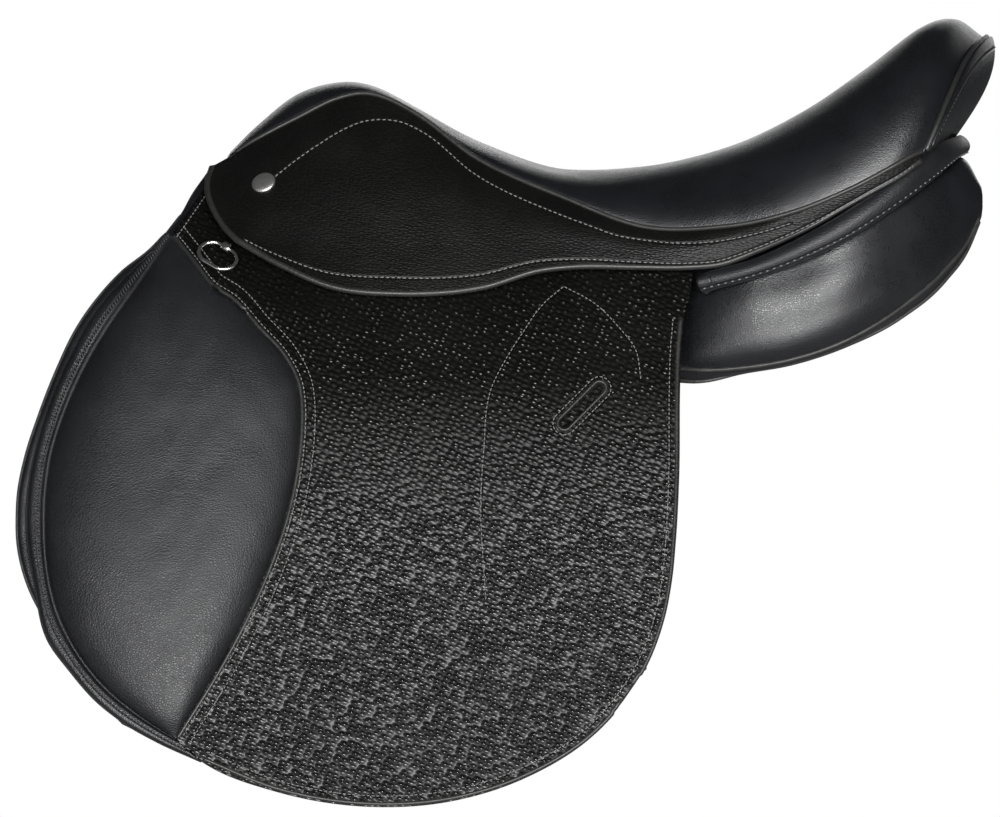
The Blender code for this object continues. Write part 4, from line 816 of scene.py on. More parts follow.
class Finishes:
    """Every material of the saddle, made once."""

    def __init__(self) -> None:
        """Make the materials."""
        calf, printed = (0.0048, 0.0051, 0.0064), (0.0032, 0.0031, 0.0029)
        self.calf = Leather("calf", calf, (0.055, 0.056, 0.060), (0.27, 0.40),
                            (0.0013, 0.0010), 0.045).build()
        self.pad_calf = Leather("pad_calf", calf, (0.05, 0.05, 0.055), (0.40, 0.55),
                                (0.0016, 0.0012), 0.085).build()
        # The printed flap's gloss fades upward between its two levels: painted shade under the skirt.
        self.printed = Leather("printed", printed, (0.030, 0.0295, 0.028), (0.22, 0.50),
                               (0.0037, 0.0025), 1.55, 0.03, 24.0, pebble=True,
                               press=(0.014, -0.110, 0.55), gloss=1.0).build()
        self.fine_print = Leather("fine_print", printed, (0.055, 0.054, 0.05), (0.30, 0.50),
                                  (0.0024, 0.0012), 0.20, 0.02, 8.0, pebble=True,
                                  gloss=0.22).build()
        self.edge = Leather("edge", (0.014, 0.0138, 0.0132), (0.050, 0.049, 0.046), (0.34, 0.48),
                            (0.0030, 0.0016), 0.03).build()
        self.lining = Leather("lining", (0.018, 0.0182, 0.0195), (0.06, 0.06, 0.062), (0.42, 0.58),
                              (0.0018, 0.0014), 0.07).build()
        self.hide = Leather("hide", (0.013, 0.0124, 0.0115), (0.05, 0.046, 0.04), (0.40, 0.58),
                            (0.0016, 0.0011), 0.05).build()
        self.thread = Plain("thread", (0.19, 0.19, 0.187), 0.62, 0.0007, 0.10, woven=True).build()
        self.dark_thread = Plain("dark_thread", (0.035, 0.035, 0.036), 0.55, 0.0007, 0.10,
                                 woven=True).build()
        self.nickel = Metal("nickel", (0.84, 0.84, 0.82), 0.12, (0.006, 0.0006)).build()
        self.silver = Metal("silver", (0.80, 0.79, 0.76), 0.34, (0.003, 0.0003)).build()
        self.steel = Metal("steel", (0.48, 0.48, 0.47), 0.34, (0.008, 0.0008), attributes=False).build()
        self.plastic = Plain("plastic", (0.020, 0.020, 0.021), 0.52, 0.0016, 0.05).build()
        self.foam = Plain("grey_foam", (0.20, 0.20, 0.19), 0.92, 0.0022, 0.20).build()
        self.web = Plain("web", (0.46, 0.43, 0.36), 0.90, 0.0016, 0.22, woven=True).build()


# Shapes that the pieces share


STEEP_X = (-0.28, -0.215, -0.18, -0.165, -0.085, -0.068, -0.05, -0.01, 0.02, 0.06)
STEEPNESS = (0.53, 0.58, 0.638, 0.64, 0.64, 0.635, 0.50, 0.38, 0.28, 0.10)


@dataclass(frozen=True)
class FlapShape:
    """Half width of the flap's outer face, and what lies under it."""

    fold_z: float = 0.050
    fold_width: float = 0.102
    flare: float = 0.29
    bow: float = 0.0065
    drop: float = 0.277
    curl: float = 0.25
    curl_x: float = -0.165
    softness: float = 0.008
    thickness: float = 0.0024
    lining: float = 0.0016
    lining_gap: float = 0.0009

    def past(self, reach: np.ndarray) -> np.ndarray:
        """How far a reach is past zero, eased at the start."""
        return self.softness * np.logaddexp(0.0, reach / self.softness)

    def width(self, x: np.ndarray, z: np.ndarray) -> np.ndarray:
        """Half width of the outer face at a place in the side view."""
        steepness = hermite(STEEP_X, STEEPNESS, x)
        curl = self.curl * np.maximum(self.curl_x - x, 0.0) ** 2
        over = self.past(z - self.fold_z)
        share = np.clip(self.past(self.fold_z - z) / self.drop, 0, 1)
        bow = self.bow * 4 * share * (1 - share)
        return self.fold_width + self.flare * (self.fold_z - z) - steepness * over - curl + bow

    def lift(self, flat: np.ndarray, drop: float, side: Side) -> np.ndarray:
        """Put (x, z) points on the face, a drop inward."""
        return on_side(flat, self.width(flat[..., 0], flat[..., 1]) - drop, side)


FLAP = FlapShape()

PAD_SEAM: Points = [(-236.0, 84.7), (-224.5, 70.4), (-213.5, 56.6), (-203.0, 50.0), (-189.0, 34.5),
                    (-174.0, 18.0), (-166.5, 2.7), (-165.0, -8.0), (-165.0, -22.0), (-170.5, -61.5),
                    (-185.5, -106.0), (-207.0, -149.0), (-232.5, -190.5)]
PAD_FRONT: Points = [(-237.0, 84.5), (-244.5, 73.0), (-260.0, 50.0), (-268.5, 38.0), (-283.3, 13.2),
                     (-294.3, -11.5), (-301.4, -33.5), (-304.7, -55.5), (-305.3, -76.5), (-304.2, -95.0),
                     (-298.0, -122.0), (-287.0, -144.0), (-272.3, -162.3), (-256.3, -176.0),
                     (-241.5, -186.0), (-233.6, -190.8)]
TRIM_FRONT: Points = [(-239.0, 86.0), (-247.5, 76.5), (-258.0, 66.0), (-273.0, 50.0), (-293.5, 15.4),
                      (-303.6, -8.8), (-310.0, -31.0), (-314.0, -52.0), (-315.2, -70.5), (-314.0, -88.6),
                      (-310.5, -107.5), (-303.0, -138.0), (-291.0, -154.5), (-276.5, -171.0),
                      (-261.5, -183.0), (-243.5, -193.2), (-219.5, -204.0)]
FLAP_FRONT_TOP: Points = [(-213.5, 119.0), (-220.0, 108.4), (-225.5, 100.1), (-236.0, 84.7)]
FLAP_BOTTOM: Points = [(-232.5, -190.5), (-218.0, -202.5), (-176.5, -219.0), (-125.0, -227.0),
                       (-88.0, -225.0), (-43.0, -212.0), (-4.0, -188.0), (23.6, -152.5)]
FLAP_REAR: Points = [(50.0, 64.0), (47.5, 50.0), (44.5, 39.0), (42.9, 20.4), (42.3, 1.1), (41.8, -49.5),
                     (40.1, -83.0), (37.9, -105.5), (34.6, -123.0), (23.6, -152.5)]
FLAP_TOP: Points = [(-213.5, 119.0), (-206.0, 113.5), (-190.0, 103.5), (-165.0, 99.5), (-100.0, 97.5),
                    (-80.0, 91.5), (-62.0, 80.0), (-30.0, 75.0), (50.0, 64.0)]
SWEAT_FRONT: Points = [(-217.8, 119.9), (-226.0, 107.8), (-231.6, 97.4), (-240.3, 86.3), (-249.0, 77.0),
                       (-264.0, 65.0), (-276.6, 51.0), (-288.2, 34.1), (-299.2, 11.0), (-309.1, -14.9),
                       (-316.2, -37.4), (-320.1, -58.3), (-320.6, -70.4), (-320.0, -85.3),
                       (-317.9, -96.3), (-311.9, -113.3), (-297.0, -136.0), (-280.0, -152.0)]
SWEAT_BOTTOM: Points = [(-280.0, -152.0), (-240.0, -172.0), (-180.0, -188.0), (-110.0, -192.0),
                        (-50.0, -178.0), (0.0, -140.0)]
SWEAT_REAR: Points = [(30.0, 34.0), (28.0, 0.0), (25.0, -60.0), (17.0, -106.0), (0.0, -140.0)]
PEAK: list[Points] = [
    [(-20.4, 56.7), (-31.9, 46.8), (-42.9, 31.4), (-51.7, 17.6), (-60.5, 0.0), (-64.4, -33.0),
     (-66.0, -60.5), (-63.3, -115.5)],
    [(-20.4, 56.7), (-2.8, 46.8), (9.9, 34.1), (18.7, 22.6), (22.0, 5.5)]]
SWEAT_TOP: Points = [(-240.3, 86.3), (-226.0, 62.0), (-196.0, 46.0), (-120.0, 38.0), (30.0, 34.0)]

SEAT_STATIONS: Points = [
    (-205.0, 131.8, 0.0, -204.0, 25.0, 130.2, 2.0),
    (-190.0, 146.5, 0.0, -190.0, 30.5, 139.0, 2.2),
    (-168.0, 163.8, 0.0, -167.0, 34.0, 151.0, 2.3),
    (-145.0, 170.5, 0.0, -145.0, 37.0, 161.5, 2.4),
    (-125.0, 168.0, 0.0, -125.0, 41.0, 163.4, 2.4),
    (-100.0, 155.5, 0.0, -100.0, 49.0, 151.5, 2.4),
    (-66.0, 137.0, 0.0, -66.0, 62.0, 126.5, 2.4),
    (-22.0, 122.7, 0.0, -22.0, 78.0, 106.7, 2.5),
    (24.0, 123.8, 1.0, 24.0, 92.0, 89.7, 2.8),
    (70.0, 134.0, 3.0, 69.0, 104.0, 90.0, 3.1),
    (112.0, 153.5, 5.0, 104.0, 112.0, 97.3, 3.3),
    (148.0, 177.7, 6.0, 135.0, 115.5, 109.5, 3.3),
    (178.0, 200.3, 4.0, 158.0, 114.0, 121.5, 3.1),
    (197.0, 205.2, 1.0, 170.0, 110.0, 128.4, 2.8),
    (212.5, 195.5, 0.0, 177.0, 105.0, 131.5, 2.4),
]
SWEAT_DROP = 0.0058
POINT_ROOM = 0.0120
KNEE_ROOM = 0.0135

def sweat_edge_x(z: np.ndarray) -> np.ndarray:
    """Place of the sweat flap's front edge at a height."""
    edge = np.array(SWEAT_FRONT[:2:-1]) * MM
    return np.interp(z, edge[:, 1], edge[:, 0])


def sweat_width(x: np.ndarray, z: np.ndarray) -> np.ndarray:
    """Half width of the sweat flap's outer face."""
    beside = x - sweat_edge_x(z)
    near_point = smoothstep((beside - 0.004) / 0.022)
    inset = smoothstep((beside - 0.006) / 0.070)
    below = smoothstep((FLAP.fold_z + 0.020 - z) / 0.040)
    room = POINT_ROOM * (1 - below) * near_point + KNEE_ROOM * below * inset
    return FLAP.width(x, z) - SWEAT_DROP - room


# Pieces


@dataclass
class Seat:
    """Padded seat with its piped seams.

    Attributes:
        rows: rows of points from the nose to the cantle.
        columns: points across.
        leather: thickness of the cover.
        welt: radius of the piping at the seam.
        rounding: power of the crown's rounding.
        dish: share of the half width that the dish takes.
        lean: shares of the crown's lead over the seam that grow with the height, evenly and late.
        ripple: height of the cover's ripples.
        waist: place and reach along X of the strongest ripples.
    """

    rows: int = 170
    columns: int = 111
    leather: float = 0.0018
    welt: float = 0.0013
    rounding: float = 1.8
    dish: float = 0.6
    lean: tuple[float, float] = (0.77, 0.23)
    ripple: float = 0.00022
    waist: tuple[float, float] = (-0.03, 0.06)

    def row(self, place: float, columns: int) -> np.ndarray:
        """Cross-section at a place from 0 (nose) to 1 (cantle), from the left seam to the right."""
        table = np.array(SEAT_STATIONS)
        values = hermite(np.linspace(0, 1, len(table)), table, np.array([place]))[0]
        x_mid, crown, dish, x_seam, y_seam, z_seam = values[:6] * MM
        angle = np.linspace(-0.5, 0.5, columns) * math.pi
        side = np.sign(angle) * np.abs(np.sin(angle)) ** (2 / values[6])
        height = np.abs(np.cos(angle)) ** (2 / self.rounding)
        height[[0, -1]] = 0.0
        hollow = dish * np.where(np.abs(side) < self.dish, (1 - (side / self.dish) ** 2) ** 2, 0.0)
        level = (crown - z_seam) * height - hollow
        level = level + (crown - z_seam - level.max()) * height
        even, late = self.lean
        lean = even * height + late * height ** 8
        x = x_seam + (x_mid - x_seam) * lean
        return np.stack([x, y_seam * side, z_seam + level], -1)

    def grid(self, rows: int, columns: int) -> np.ndarray:
        """Grid over the whole seat."""
        return np.array([self.row(place, columns) for place in np.linspace(0, 1, rows)])

    def seam(self, side: Side) -> np.ndarray:
        """Lower edge of one side."""
        grid = self.grid(self.rows, 5)
        return grid[:, 4 if side is Side.RIGHT else 0]

    def build(self, finishes: Finishes) -> bpy.types.Object:
        """Make the seat and dress it."""
        grid = self.grid(self.rows, self.columns)
        x, y = grid[..., 0], grid[..., 1]
        wave = np.sin(x * 95 + 2.1 * np.sin(y * 60)) * np.sin(y * 43 + 0.7)
        waist = np.exp(-((x - self.waist[0]) / self.waist[1]) ** 2)
        grid = facing(grid, (0, 0, 1))
        grid = grid + grid_normals(grid) * (self.ripple * wave * (0.4 + waist))[..., None]
        piece = Piece("seat")
        piece.add(rounded_sheet(grid, self.leather), finishes.calf)
        for side in Side:
            seam = self.seam(side)[2:-1]
            out = np.array([0.0, side.value * 0.0004, -0.0002])
            piece.add(tube(seam + out, self.welt, 10), finishes.edge)
            piece.edges.append(seam)
        item = piece.make()
        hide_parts("seat_cover", "seat_foam")
        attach(item, ROOT)
        return item


@dataclass
class Cantle:
    """Leather behind the cantle with its piping, and the band that goes round under it."""

    seat: Seat
    columns: int = 121
    thickness: float = 0.0018
    band: float = 0.0022
    band_crown: float = 0.0046
    band_blunt: float = 0.0030
    piping: float = 0.0016
    stand_off: float = 0.0052
    swell: float = 0.0072
    base_x: tuple[float, float] = (0.1962, 0.0165)
    base_z: tuple[float, float] = (0.1385, 0.0075)
    base_width: float = 0.97

    def arch(self, push: float) -> np.ndarray:
        """Rear edge of the seat, pushed out to the rear."""
        row = self.seat.row(1.0, self.columns)
        way = row - self.seat.row(0.97, self.columns)
        way[:, 2] = 0.0
        way[:, 1] *= 0.3
        way[:, 0] = np.abs(way[:, 0]) + 0.004
        return row + unit(way) * push

    def build_back(self, finishes: Finishes) -> bpy.types.Object:
        """Make the leather behind the cantle."""
        top = self.arch(self.stand_off)
        side = top[:, 1] / np.abs(top[:, 1]).max()
        x, z = (middle - bow * side ** 2 for middle, bow in (self.base_x, self.base_z))
        low = np.stack([x, self.base_width * top[:, 1], z], -1)
        reach = 1 - np.abs(side) ** 3
        lines = []
        for share in np.linspace(0, 1, 31):
            line = top + (low - top) * share
            line[:, 0] += self.swell * reach * math.sin(math.pi * share ** 0.8)
            lines.append(line)
        grid = facing(np.array(lines)[:, 2:-2], (1, 0, 0))
        piece = Piece("cantle_leather")
        piece.add(rounded_sheet(grid, self.thickness), finishes.calf)
        normals = grid_normals(grid)
        piece.sew(grid[3], normals[3], LONG_SEAM, finishes.dark_thread)
        piece.add(tube(self.arch(self.piping + 0.0003), self.piping, 12), finishes.edge)
        piece.add(tube(self.arch(0.0001) + np.array([0, 0, -0.0012]), 0.0009, 8), finishes.calf)
        item = piece.make()
        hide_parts("cantle_back", "cantle_welt")
        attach(item, ROOT)
        return item

    def build_band(self, finishes: Finishes) -> bpy.types.Object:
        """Make the stitched band."""
        top = [(52.0, 103.6, 63.3), (85.8, 108.5, 72.6), (117.2, 111.0, 87.8), (148.0, 108.5, 106.6),
               (171.0, 98.0, 124.5), (181.0, 88.0, 132.5), (188.5, 76.0, 136.5), (196.5, 56.0, 139.5),
               (199.5, 28.0, 140.8), (200.5, 0.0, 141.0)]
        low = [(55.0, 103.8, 53.4), (70.4, 106.6, 57.0), (101.2, 110.5, 66.5), (132.6, 111.0, 80.3),
               (160.0, 104.0, 98.0), (181.0, 88.0, 113.5), (196.0, 60.0, 126.5), (200.0, 30.0, 129.0),
               (201.0, 0.0, 129.5)]
        count = 150
        share = shares(17)
        grid = ruled(along(top, count), along(low, count), share)
        out = np.zeros_like(grid)
        out[..., 1] = grid[..., 1]
        out[..., 0] = np.maximum(grid[..., 0] - 0.12, 0.0) * 1.2
        round_off = 1 - (2 * share - 1) ** 2
        grid = grid + unit(out) * (self.band_crown * round_off ** 0.8)
        blunt = np.sqrt(np.clip(round_off, 0, 1)) * self.band_blunt - self.band_blunt
        lead = np.exp(-np.linspace(0, 1, count) * 60)[None, :, None]
        grid = grid - np.array([1.0, 0.0, -0.3]) * blunt * lead
        whole = both_sides(grid, 1)
        whole = whole if (grid_normals(whole)[:, -20, 1]).sum() > 0 else whole[:, ::-1]
        piece = Piece("rear_band")
        piece.add(rounded_sheet(whole, self.band), finishes.pad_calf)
        normals = grid_normals(whole)
        piece.sew(whole[-4], normals[-4], DARK_SEAM, finishes.thread)
        for column in (4, -5):
            piece.sew(whole[4:-4, column], normals[4:-4, column], DARK_SEAM, finishes.thread)
        piece.edges += [whole[0], whole[-1]]
        item = piece.make()
        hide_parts("rear_facing")
        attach(item, ROOT)
        return item


@dataclass
class Skirt:
    """Small flap over the stirrup bar, in one sheet from the seat's seam to its free edge."""

    seat: Seat
    columns: int = 220
    rows: int = 70
    thickness: float = 0.0032
    bead: float = 0.0019
    bulge: float = 0.0030
    stitch_inset: float = 0.0048
    seam_drop: float = 0.0010
    seam_reach: tuple[float, float] = (-0.2, 0.1765)
    hinge_front: tuple[float, float, float] = (-0.2156, 0.0645, 0.1080)
    hinge_rear: tuple[float, float, float] = (0.0800, 0.1070, 0.0782)
    hinge_way: tuple[float, float] = (0.55, -0.83)
    hinge_reach: float = 0.009

    def grid(self, side: Side) -> np.ndarray:
        """Outer face as rows from the seam down to the free edge."""
        columns, rows = self.columns, self.rows
        seam = self.seat.seam(Side.RIGHT)
        front_x, rear_x = self.seam_reach
        keep = seam[(seam[:, 0] > front_x) & (seam[:, 0] < rear_x)]
        nose = np.array([(-0.2140, 0.0445, 0.1235), (-0.2040, 0.0285, 0.1294)])
        top = evenly(np.concatenate([nose, keep]), columns)
        top[:, 2] -= self.seam_drop
        edge = along([(-199.6, 84.6, 83.0), (-175.5, 95.5, 69.3), (-147.4, 103.0, 57.2),
                      (-110.0, 107.5, 53.4), (-66.0, 107.8, 56.7), (-32.0, 105.5, 66.5),
                      (-15.0, 105.0, 68.2), (20.0, 106.3, 67.9), (47.8, 107.3, 67.7), (66.5, 108.0, 69.3),
                      (84.0, 109.2, 75.6), (101.2, 111.2, 83.0), (117.2, 112.6, 90.8),
                      (132.6, 113.6, 99.6), (150.0, 114.0, 109.5), (166.0, 111.0, 118.5),
                      (176.5, 106.0, 126.3)], columns)
        front = along([(-214.0, 44.5, 123.5), (-216.4, 56.0, 116.0), (-216.0, 64.5, 108.0),
                       (-214.0, 69.5, 102.0), (-208.5, 76.5, 92.0), (-199.6, 84.6, 83.0)], rows)
        rear = evenly(np.stack([top[-1], edge[-1]]), rows)
        grid = coons(top, edge, front, rear)
        u = np.linspace(0, 1, columns)[None, :]
        v = np.linspace(0, 1, rows)[:, None]
        bulge = self.bulge * np.sin(math.pi * v) * np.sin(math.pi * np.clip(u * 1.25, 0, 1)) ** 0.7
        grid[..., 1] += bulge
        grid[..., 2] += 0.5 * bulge
        return facing(grid * side.mirror, (0, side.value, 0.4))

    def build(self, side: Side, finishes: Finishes) -> bpy.types.Object:
        """Make one skirt."""
        grid = self.grid(side)
        piece = Piece(f"skirt_leather_{side.label}")
        piece.add(rounded_sheet(grid, self.thickness), finishes.fine_print)
        normals = grid_normals(grid)
        middle = grid - normals * (self.thickness / 2)
        if side is Side.RIGHT:
            border = chain(middle[:, 0], middle[-1, 1:])
        else:
            border = chain(middle[:, -1], middle[-1, ::-1][1:])
        piece.add(tube(border, self.bead, 10), finishes.edge)
        piece.edges.append(border)
        drop = np.linalg.norm(grid[-1] - grid[-2], axis=1).mean()
        row = max(2, round(self.stitch_inset / drop))
        tree = piece.carrier()
        path, ups = grid[-1 - row], normals[-1 - row]
        piece.sew(path[4:-4], ups[4:-4], LONG_SEAM, finishes.thread)
        line = side_view([(-179.9, 117.2), (-168.9, 126.0), (-154.6, 135.9), (-140.8, 144.1),
                          (-130.9, 148.0), (-122.1, 149.0), (-110.0, 147.6), (-99.0, 142.5),
                          (-68.8, 118.3), (-22.0, 96.0), (-6.6, 90.2), (8.8, 84.7), (24.2, 82.0),
                          (47.3, 80.3), (70.4, 82.5), (88.0, 86.4), (104.5, 91.3)])
        piece.sew(*drape(tree, line, side), LONG_SEAM, finishes.thread)
        item = piece.make()
        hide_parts(f"skirt_{side.label}", f"skirt_top_{side.label}")
        front, rear = np.array(self.hinge_front) * side.mirror, np.array(self.hinge_rear) * side.mirror
        middle, line_way = (front + rear) / 2, unit(rear - front)
        out, down = self.hinge_way
        way = np.array([0.0, side.value * out, down])
        way = unit(way - line_way * (way @ line_way)) * self.hinge_reach
        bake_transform(item, ROOT, f"skirt_{side.label}", tuple(middle - way), tuple(middle + way))
        return item


@dataclass
class Flap:
    """Printed leather flap with its edge, its seams and the slot for the stirrup leather."""

    slot_length: float = 0.0335
    slot_width: float = 0.0062
    slot_centre: tuple[float, float] = (-0.0105, -0.0090)
    slot_angle: float = 45.0
    slot_stitches: float = 0.0032
    pad_stitches: tuple[float, float] = (0.0026, 0.0078)
    rim_stitches: float = 0.0048
    front_stitches: float = 0.0022
    cut_reach: tuple[float, float] = (0.08, 0.16)
    edge_inset: float = 0.0006
    lip: float = 0.0009
    rim: float = 0.0013
    fold: float = 0.0012

    def grid(self, side: Side) -> np.ndarray:
        """Outer face as rows from the top to the free edge."""
        columns, rows = 150, 150
        front = chain(along(FLAP_FRONT_TOP, 16), along(PAD_SEAM, rows - 15))
        flat = coons(along(FLAP_TOP, columns), along(FLAP_BOTTOM, columns), front, along(FLAP_REAR, rows))
        return FLAP.lift(flat, 0.0, side)

    def outline(self, grow: float, count: int = 20) -> np.ndarray:
        """Slot's outline in the side view, grown by a margin."""
        half = (self.slot_length - self.slot_width) / 2
        radius = self.slot_width / 2 + grow
        turns = np.linspace(-math.pi / 2, math.pi / 2, count)
        right = np.stack([half + radius * np.cos(turns), radius * np.sin(turns)], -1)
        loop = np.concatenate([right, -right])
        turn = math.radians(self.slot_angle)
        spin = np.array([[math.cos(turn), math.sin(turn)], [-math.sin(turn), math.cos(turn)]])
        return loop @ spin + np.array(self.slot_centre)

    def cut(self, item: bpy.types.Object, side: Side) -> None:
        """Cut the slot through a sheet."""
        loop = self.outline(0.0)
        rings = np.stack([np.stack([loop[:, 0], np.full(len(loop), y * side.value), loop[:, 1]], -1)
                          for y in self.cut_reach])
        subtract(item, "slot_cutter", rings)

    def build(self, side: Side, finishes: Finishes) -> bpy.types.Object:
        """Make one flap."""
        body = Piece(f"flap_body_{side.label}")
        body.add(rounded_sheet(self.grid(side), FLAP.thickness), finishes.printed)
        tree = body.carrier()
        piece = Piece(f"flap_trim_{side.label}")
        rim = FLAP_BOTTOM[1:] + FLAP_REAR[-2:1:-1]
        around = self.outline(self.slot_stitches)
        rows = [inside(PAD_SEAM, inset) for inset in self.pad_stitches]
        rows += [inside(rim, self.rim_stitches), inside(FLAP_FRONT_TOP, self.front_stitches)]
        rows += [side_view(points) for points in PEAK]
        rows.append(evenly(np.concatenate([around, around[:1]]), 90))
        for row in rows:
            piece.sew(*drape(tree, row, side), SEAM, finishes.thread)
        lip, _ = drape(tree, self.outline(self.edge_inset), side, 0.0002)
        border, _ = drape(tree, inside(rim, self.edge_inset), side, -0.0008)
        fold, _ = drape(tree, inside(PAD_SEAM, 0.0007), side, -0.0006)
        for line, radius in ((lip, self.lip), (border, self.rim), (fold, self.fold)):
            piece.add(tube(line, radius, 8, closed=line is lip), finishes.edge)
        body.seams = piece.seams
        body.edges = [border, lip, fold]
        sheet = body.make()
        self.cut(sheet, side)
        join(sheet, piece.make(), f"flap_leather_{side.label}")
        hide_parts(f"flap_{side.label}", f"flap_top_{side.label}")
        bend_flap(sheet, side)
        return sheet


def bend_flap(item: bpy.types.Object, side: Side, reach: float = 0.010) -> None:
    """Let a piece bend along the flap's fold, over a reach on both sides of it."""
    y = FLAP.fold_width * side.value
    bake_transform(item, ROOT, f"flap_{side.label}", (0.0, y, FLAP.fold_z + reach), (0.0, y, FLAP.fold_z - reach))


def inside(points: Points, inset: float) -> np.ndarray:
    """Side-view path at an inset from an outline, on the outline's rear or upper side."""
    path = side_view(points)
    run = unit(np.gradient(path, axis=0))
    normal = np.stack([-run[:, 1], run[:, 0]], -1)
    return path + normal * inset


@dataclass
class PadTrim:
    """Lining behind the flap, and the domed trim that runs round the knee pad."""

    trim: float = 0.0012
    dome: float = 0.0029
    tuck: float = 0.0016
    stand_off: float = 0.0004

    def build(self, side: Side, finishes: Finishes) -> bpy.types.Object:
        """Make the lining with its trim."""
        drop = FLAP.thickness + FLAP.lining_gap
        columns, rows = 60, 90
        front = along(TRIM_FRONT[:-2], rows)
        bottom = along([TRIM_FRONT[-3], (-243.5, -192.7), (-218.0, -202.3)] + FLAP_BOTTOM[2:], columns)
        rear = along([(48.0, 60.0)] + FLAP_REAR[1:], rows)
        top = along([TRIM_FRONT[0], (-200.0, 60.0), (-100.0, 56.0), (48.0, 60.0)], columns)
        bottom[0] = front[-1]
        grid = FLAP.lift(coons(top, bottom, front, rear), drop, side)
        body = Piece(f"lining_body_{side.label}")
        body.add(rounded_sheet(grid, FLAP.lining), finishes.lining)
        sheet = body.make()
        Flap().cut(sheet, side)
        outer = along(TRIM_FRONT, 260)
        inner = along(PAD_FRONT, 260)
        inner = inner + unit(outer - inner) * self.tuck
        across = shares(13)
        flat = ruled(outer, inner, across)
        dome = (1 - np.abs(2 * across[..., 0] - 1) ** 3.2) ** 0.6
        width = np.linalg.norm(outer - inner, axis=1)[None]
        height = self.dome * dome * np.clip(width / 0.004, 0, 1)
        y = FLAP.width(flat[..., 0], flat[..., 1]) - drop + self.stand_off + height
        grid = on_side(flat, y, side)
        piece = Piece(f"trim_{side.label}")
        piece.add(rounded_sheet(grid, self.trim), finishes.calf)
        middle = 7
        piece.sew(grid[middle], grid_normals(grid)[middle], PRESSED, finishes.dark_thread)
        piece.edges += [grid[0], grid[-1]]
        join(sheet, piece.make(), f"flap_lining_leather_{side.label}")
        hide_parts(f"flap_lining_{side.label}")
        bend_flap(sheet, side)
        return sheet


@dataclass
class KneePad:
    """Padded calf forward part of the flap."""

    base_drop: float = 0.0026
    stand_off: float = 0.0009
    cover: float = 0.0009
    ripple: float = 0.00016

    def crown(self, z: np.ndarray) -> np.ndarray:
        """Height of the padding at a level."""
        return hermite(np.array([-0.191, -0.182, -0.160, -0.120, -0.040, 0.020, 0.050, 0.0845]),
                       np.array([0.0006, 0.0055, 0.0112, 0.0158, 0.0168, 0.0138, 0.0090, 0.0006]), z)

    def build(self, side: Side, finishes: Finishes) -> bpy.types.Object:
        """Make one knee pad."""
        columns, rows = 70, 200
        front = along(PAD_FRONT, rows)
        rear = along([(x - 0.3, z) for x, z in PAD_SEAM], rows)
        u = np.linspace(0, 1, columns)[None, :, None]
        flat = front[:, None] * (1 - u) + rear[:, None] * u
        x, z = flat[..., 0], flat[..., 1]
        across = 2 * u[..., 0] - 1
        swell = (1 - np.abs(across) ** 3.0) ** 0.62
        swell = swell * np.where(across < 0, 1.0, 1.0 - 0.10 * across)
        ripple = self.ripple * np.sin(z * 210 + 3 * np.sin(x * 70)) * np.sin(x * 130 + 1.3)
        y = FLAP.width(x, z) - self.base_drop + self.stand_off + self.crown(z) * swell + ripple * swell
        outer = on_side(flat, y, side)
        piece = Piece(f"knee_cushion_{side.label}")
        piece.add(rounded_sheet(outer, self.cover), finishes.pad_calf)
        piece.edges += [outer[:, 0], outer[:, -1]]
        item = piece.make()
        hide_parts(f"knee_pad_{side.label}", f"knee_pad_top_{side.label}")
        bend_flap(item, side)
        return item


@dataclass
class SweatFlap:
    """Leather sheet of the panel, with the rolled and stitched front that shows before the flap."""

    thickness: float = 0.0022
    roll: float = 0.0020
    roll_width: float = 0.0125
    roll_height: float = 0.0024
    roll_drop: float = 0.0072
    stand_off: float = 0.0004
    dome_share: float = 0.52
    ledge: tuple[float, float, float] = (0.48, 0.14, 0.55)

    def build(self, side: Side, finishes: Finishes) -> bpy.types.Object:
        """Make one sweat flap."""
        columns, rows, count = 70, 90, 240
        flat = coons(along(SWEAT_TOP, columns), along(SWEAT_BOTTOM, columns), along(SWEAT_FRONT[3:], rows),
                     along(SWEAT_REAR, rows))
        grid = on_side(flat, sweat_width(flat[..., 0], flat[..., 1]), side)
        piece = Piece(f"sweat_leather_{side.label}")
        piece.add(rounded_sheet(grid, self.thickness), finishes.lining)
        outer = along(SWEAT_FRONT, count)
        run = unit(np.gradient(outer, axis=0))
        inward = np.stack([-run[:, 1], run[:, 0]], -1)
        if inward[count // 2, 0] < 0:
            inward = -inward
        across = shares(17)
        reach = self.roll_width * np.clip(np.linspace(0, 1, count) * 30, 0.45, 1)[None, :, None]
        flat = outer[None] + inward[None] * across * reach
        share = across[..., 0]
        dome = (1 - np.abs(2 * np.clip(share / self.dome_share, 0, 1) - 1) ** 2.4) ** 0.55
        ledge_start, ledge_run, ledge_height = self.ledge
        ledge = smoothstep((share - ledge_start) / ledge_run) * ledge_height
        height = self.roll_height * np.maximum(dome * (share < self.dome_share), ledge)
        y = FLAP.width(flat[..., 0], flat[..., 1]) - self.roll_drop + self.stand_off + height
        roll = on_side(flat, y, side)
        piece.add(rounded_sheet(roll, self.roll), finishes.calf)
        piece.sew(roll[9], grid_normals(roll)[9], DARK_SEAM, finishes.dark_thread)
        piece.edges.append(roll[0])
        item = piece.make()
        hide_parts(f"sweat_flap_{side.label}")
        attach(item, ROOT)
        return item


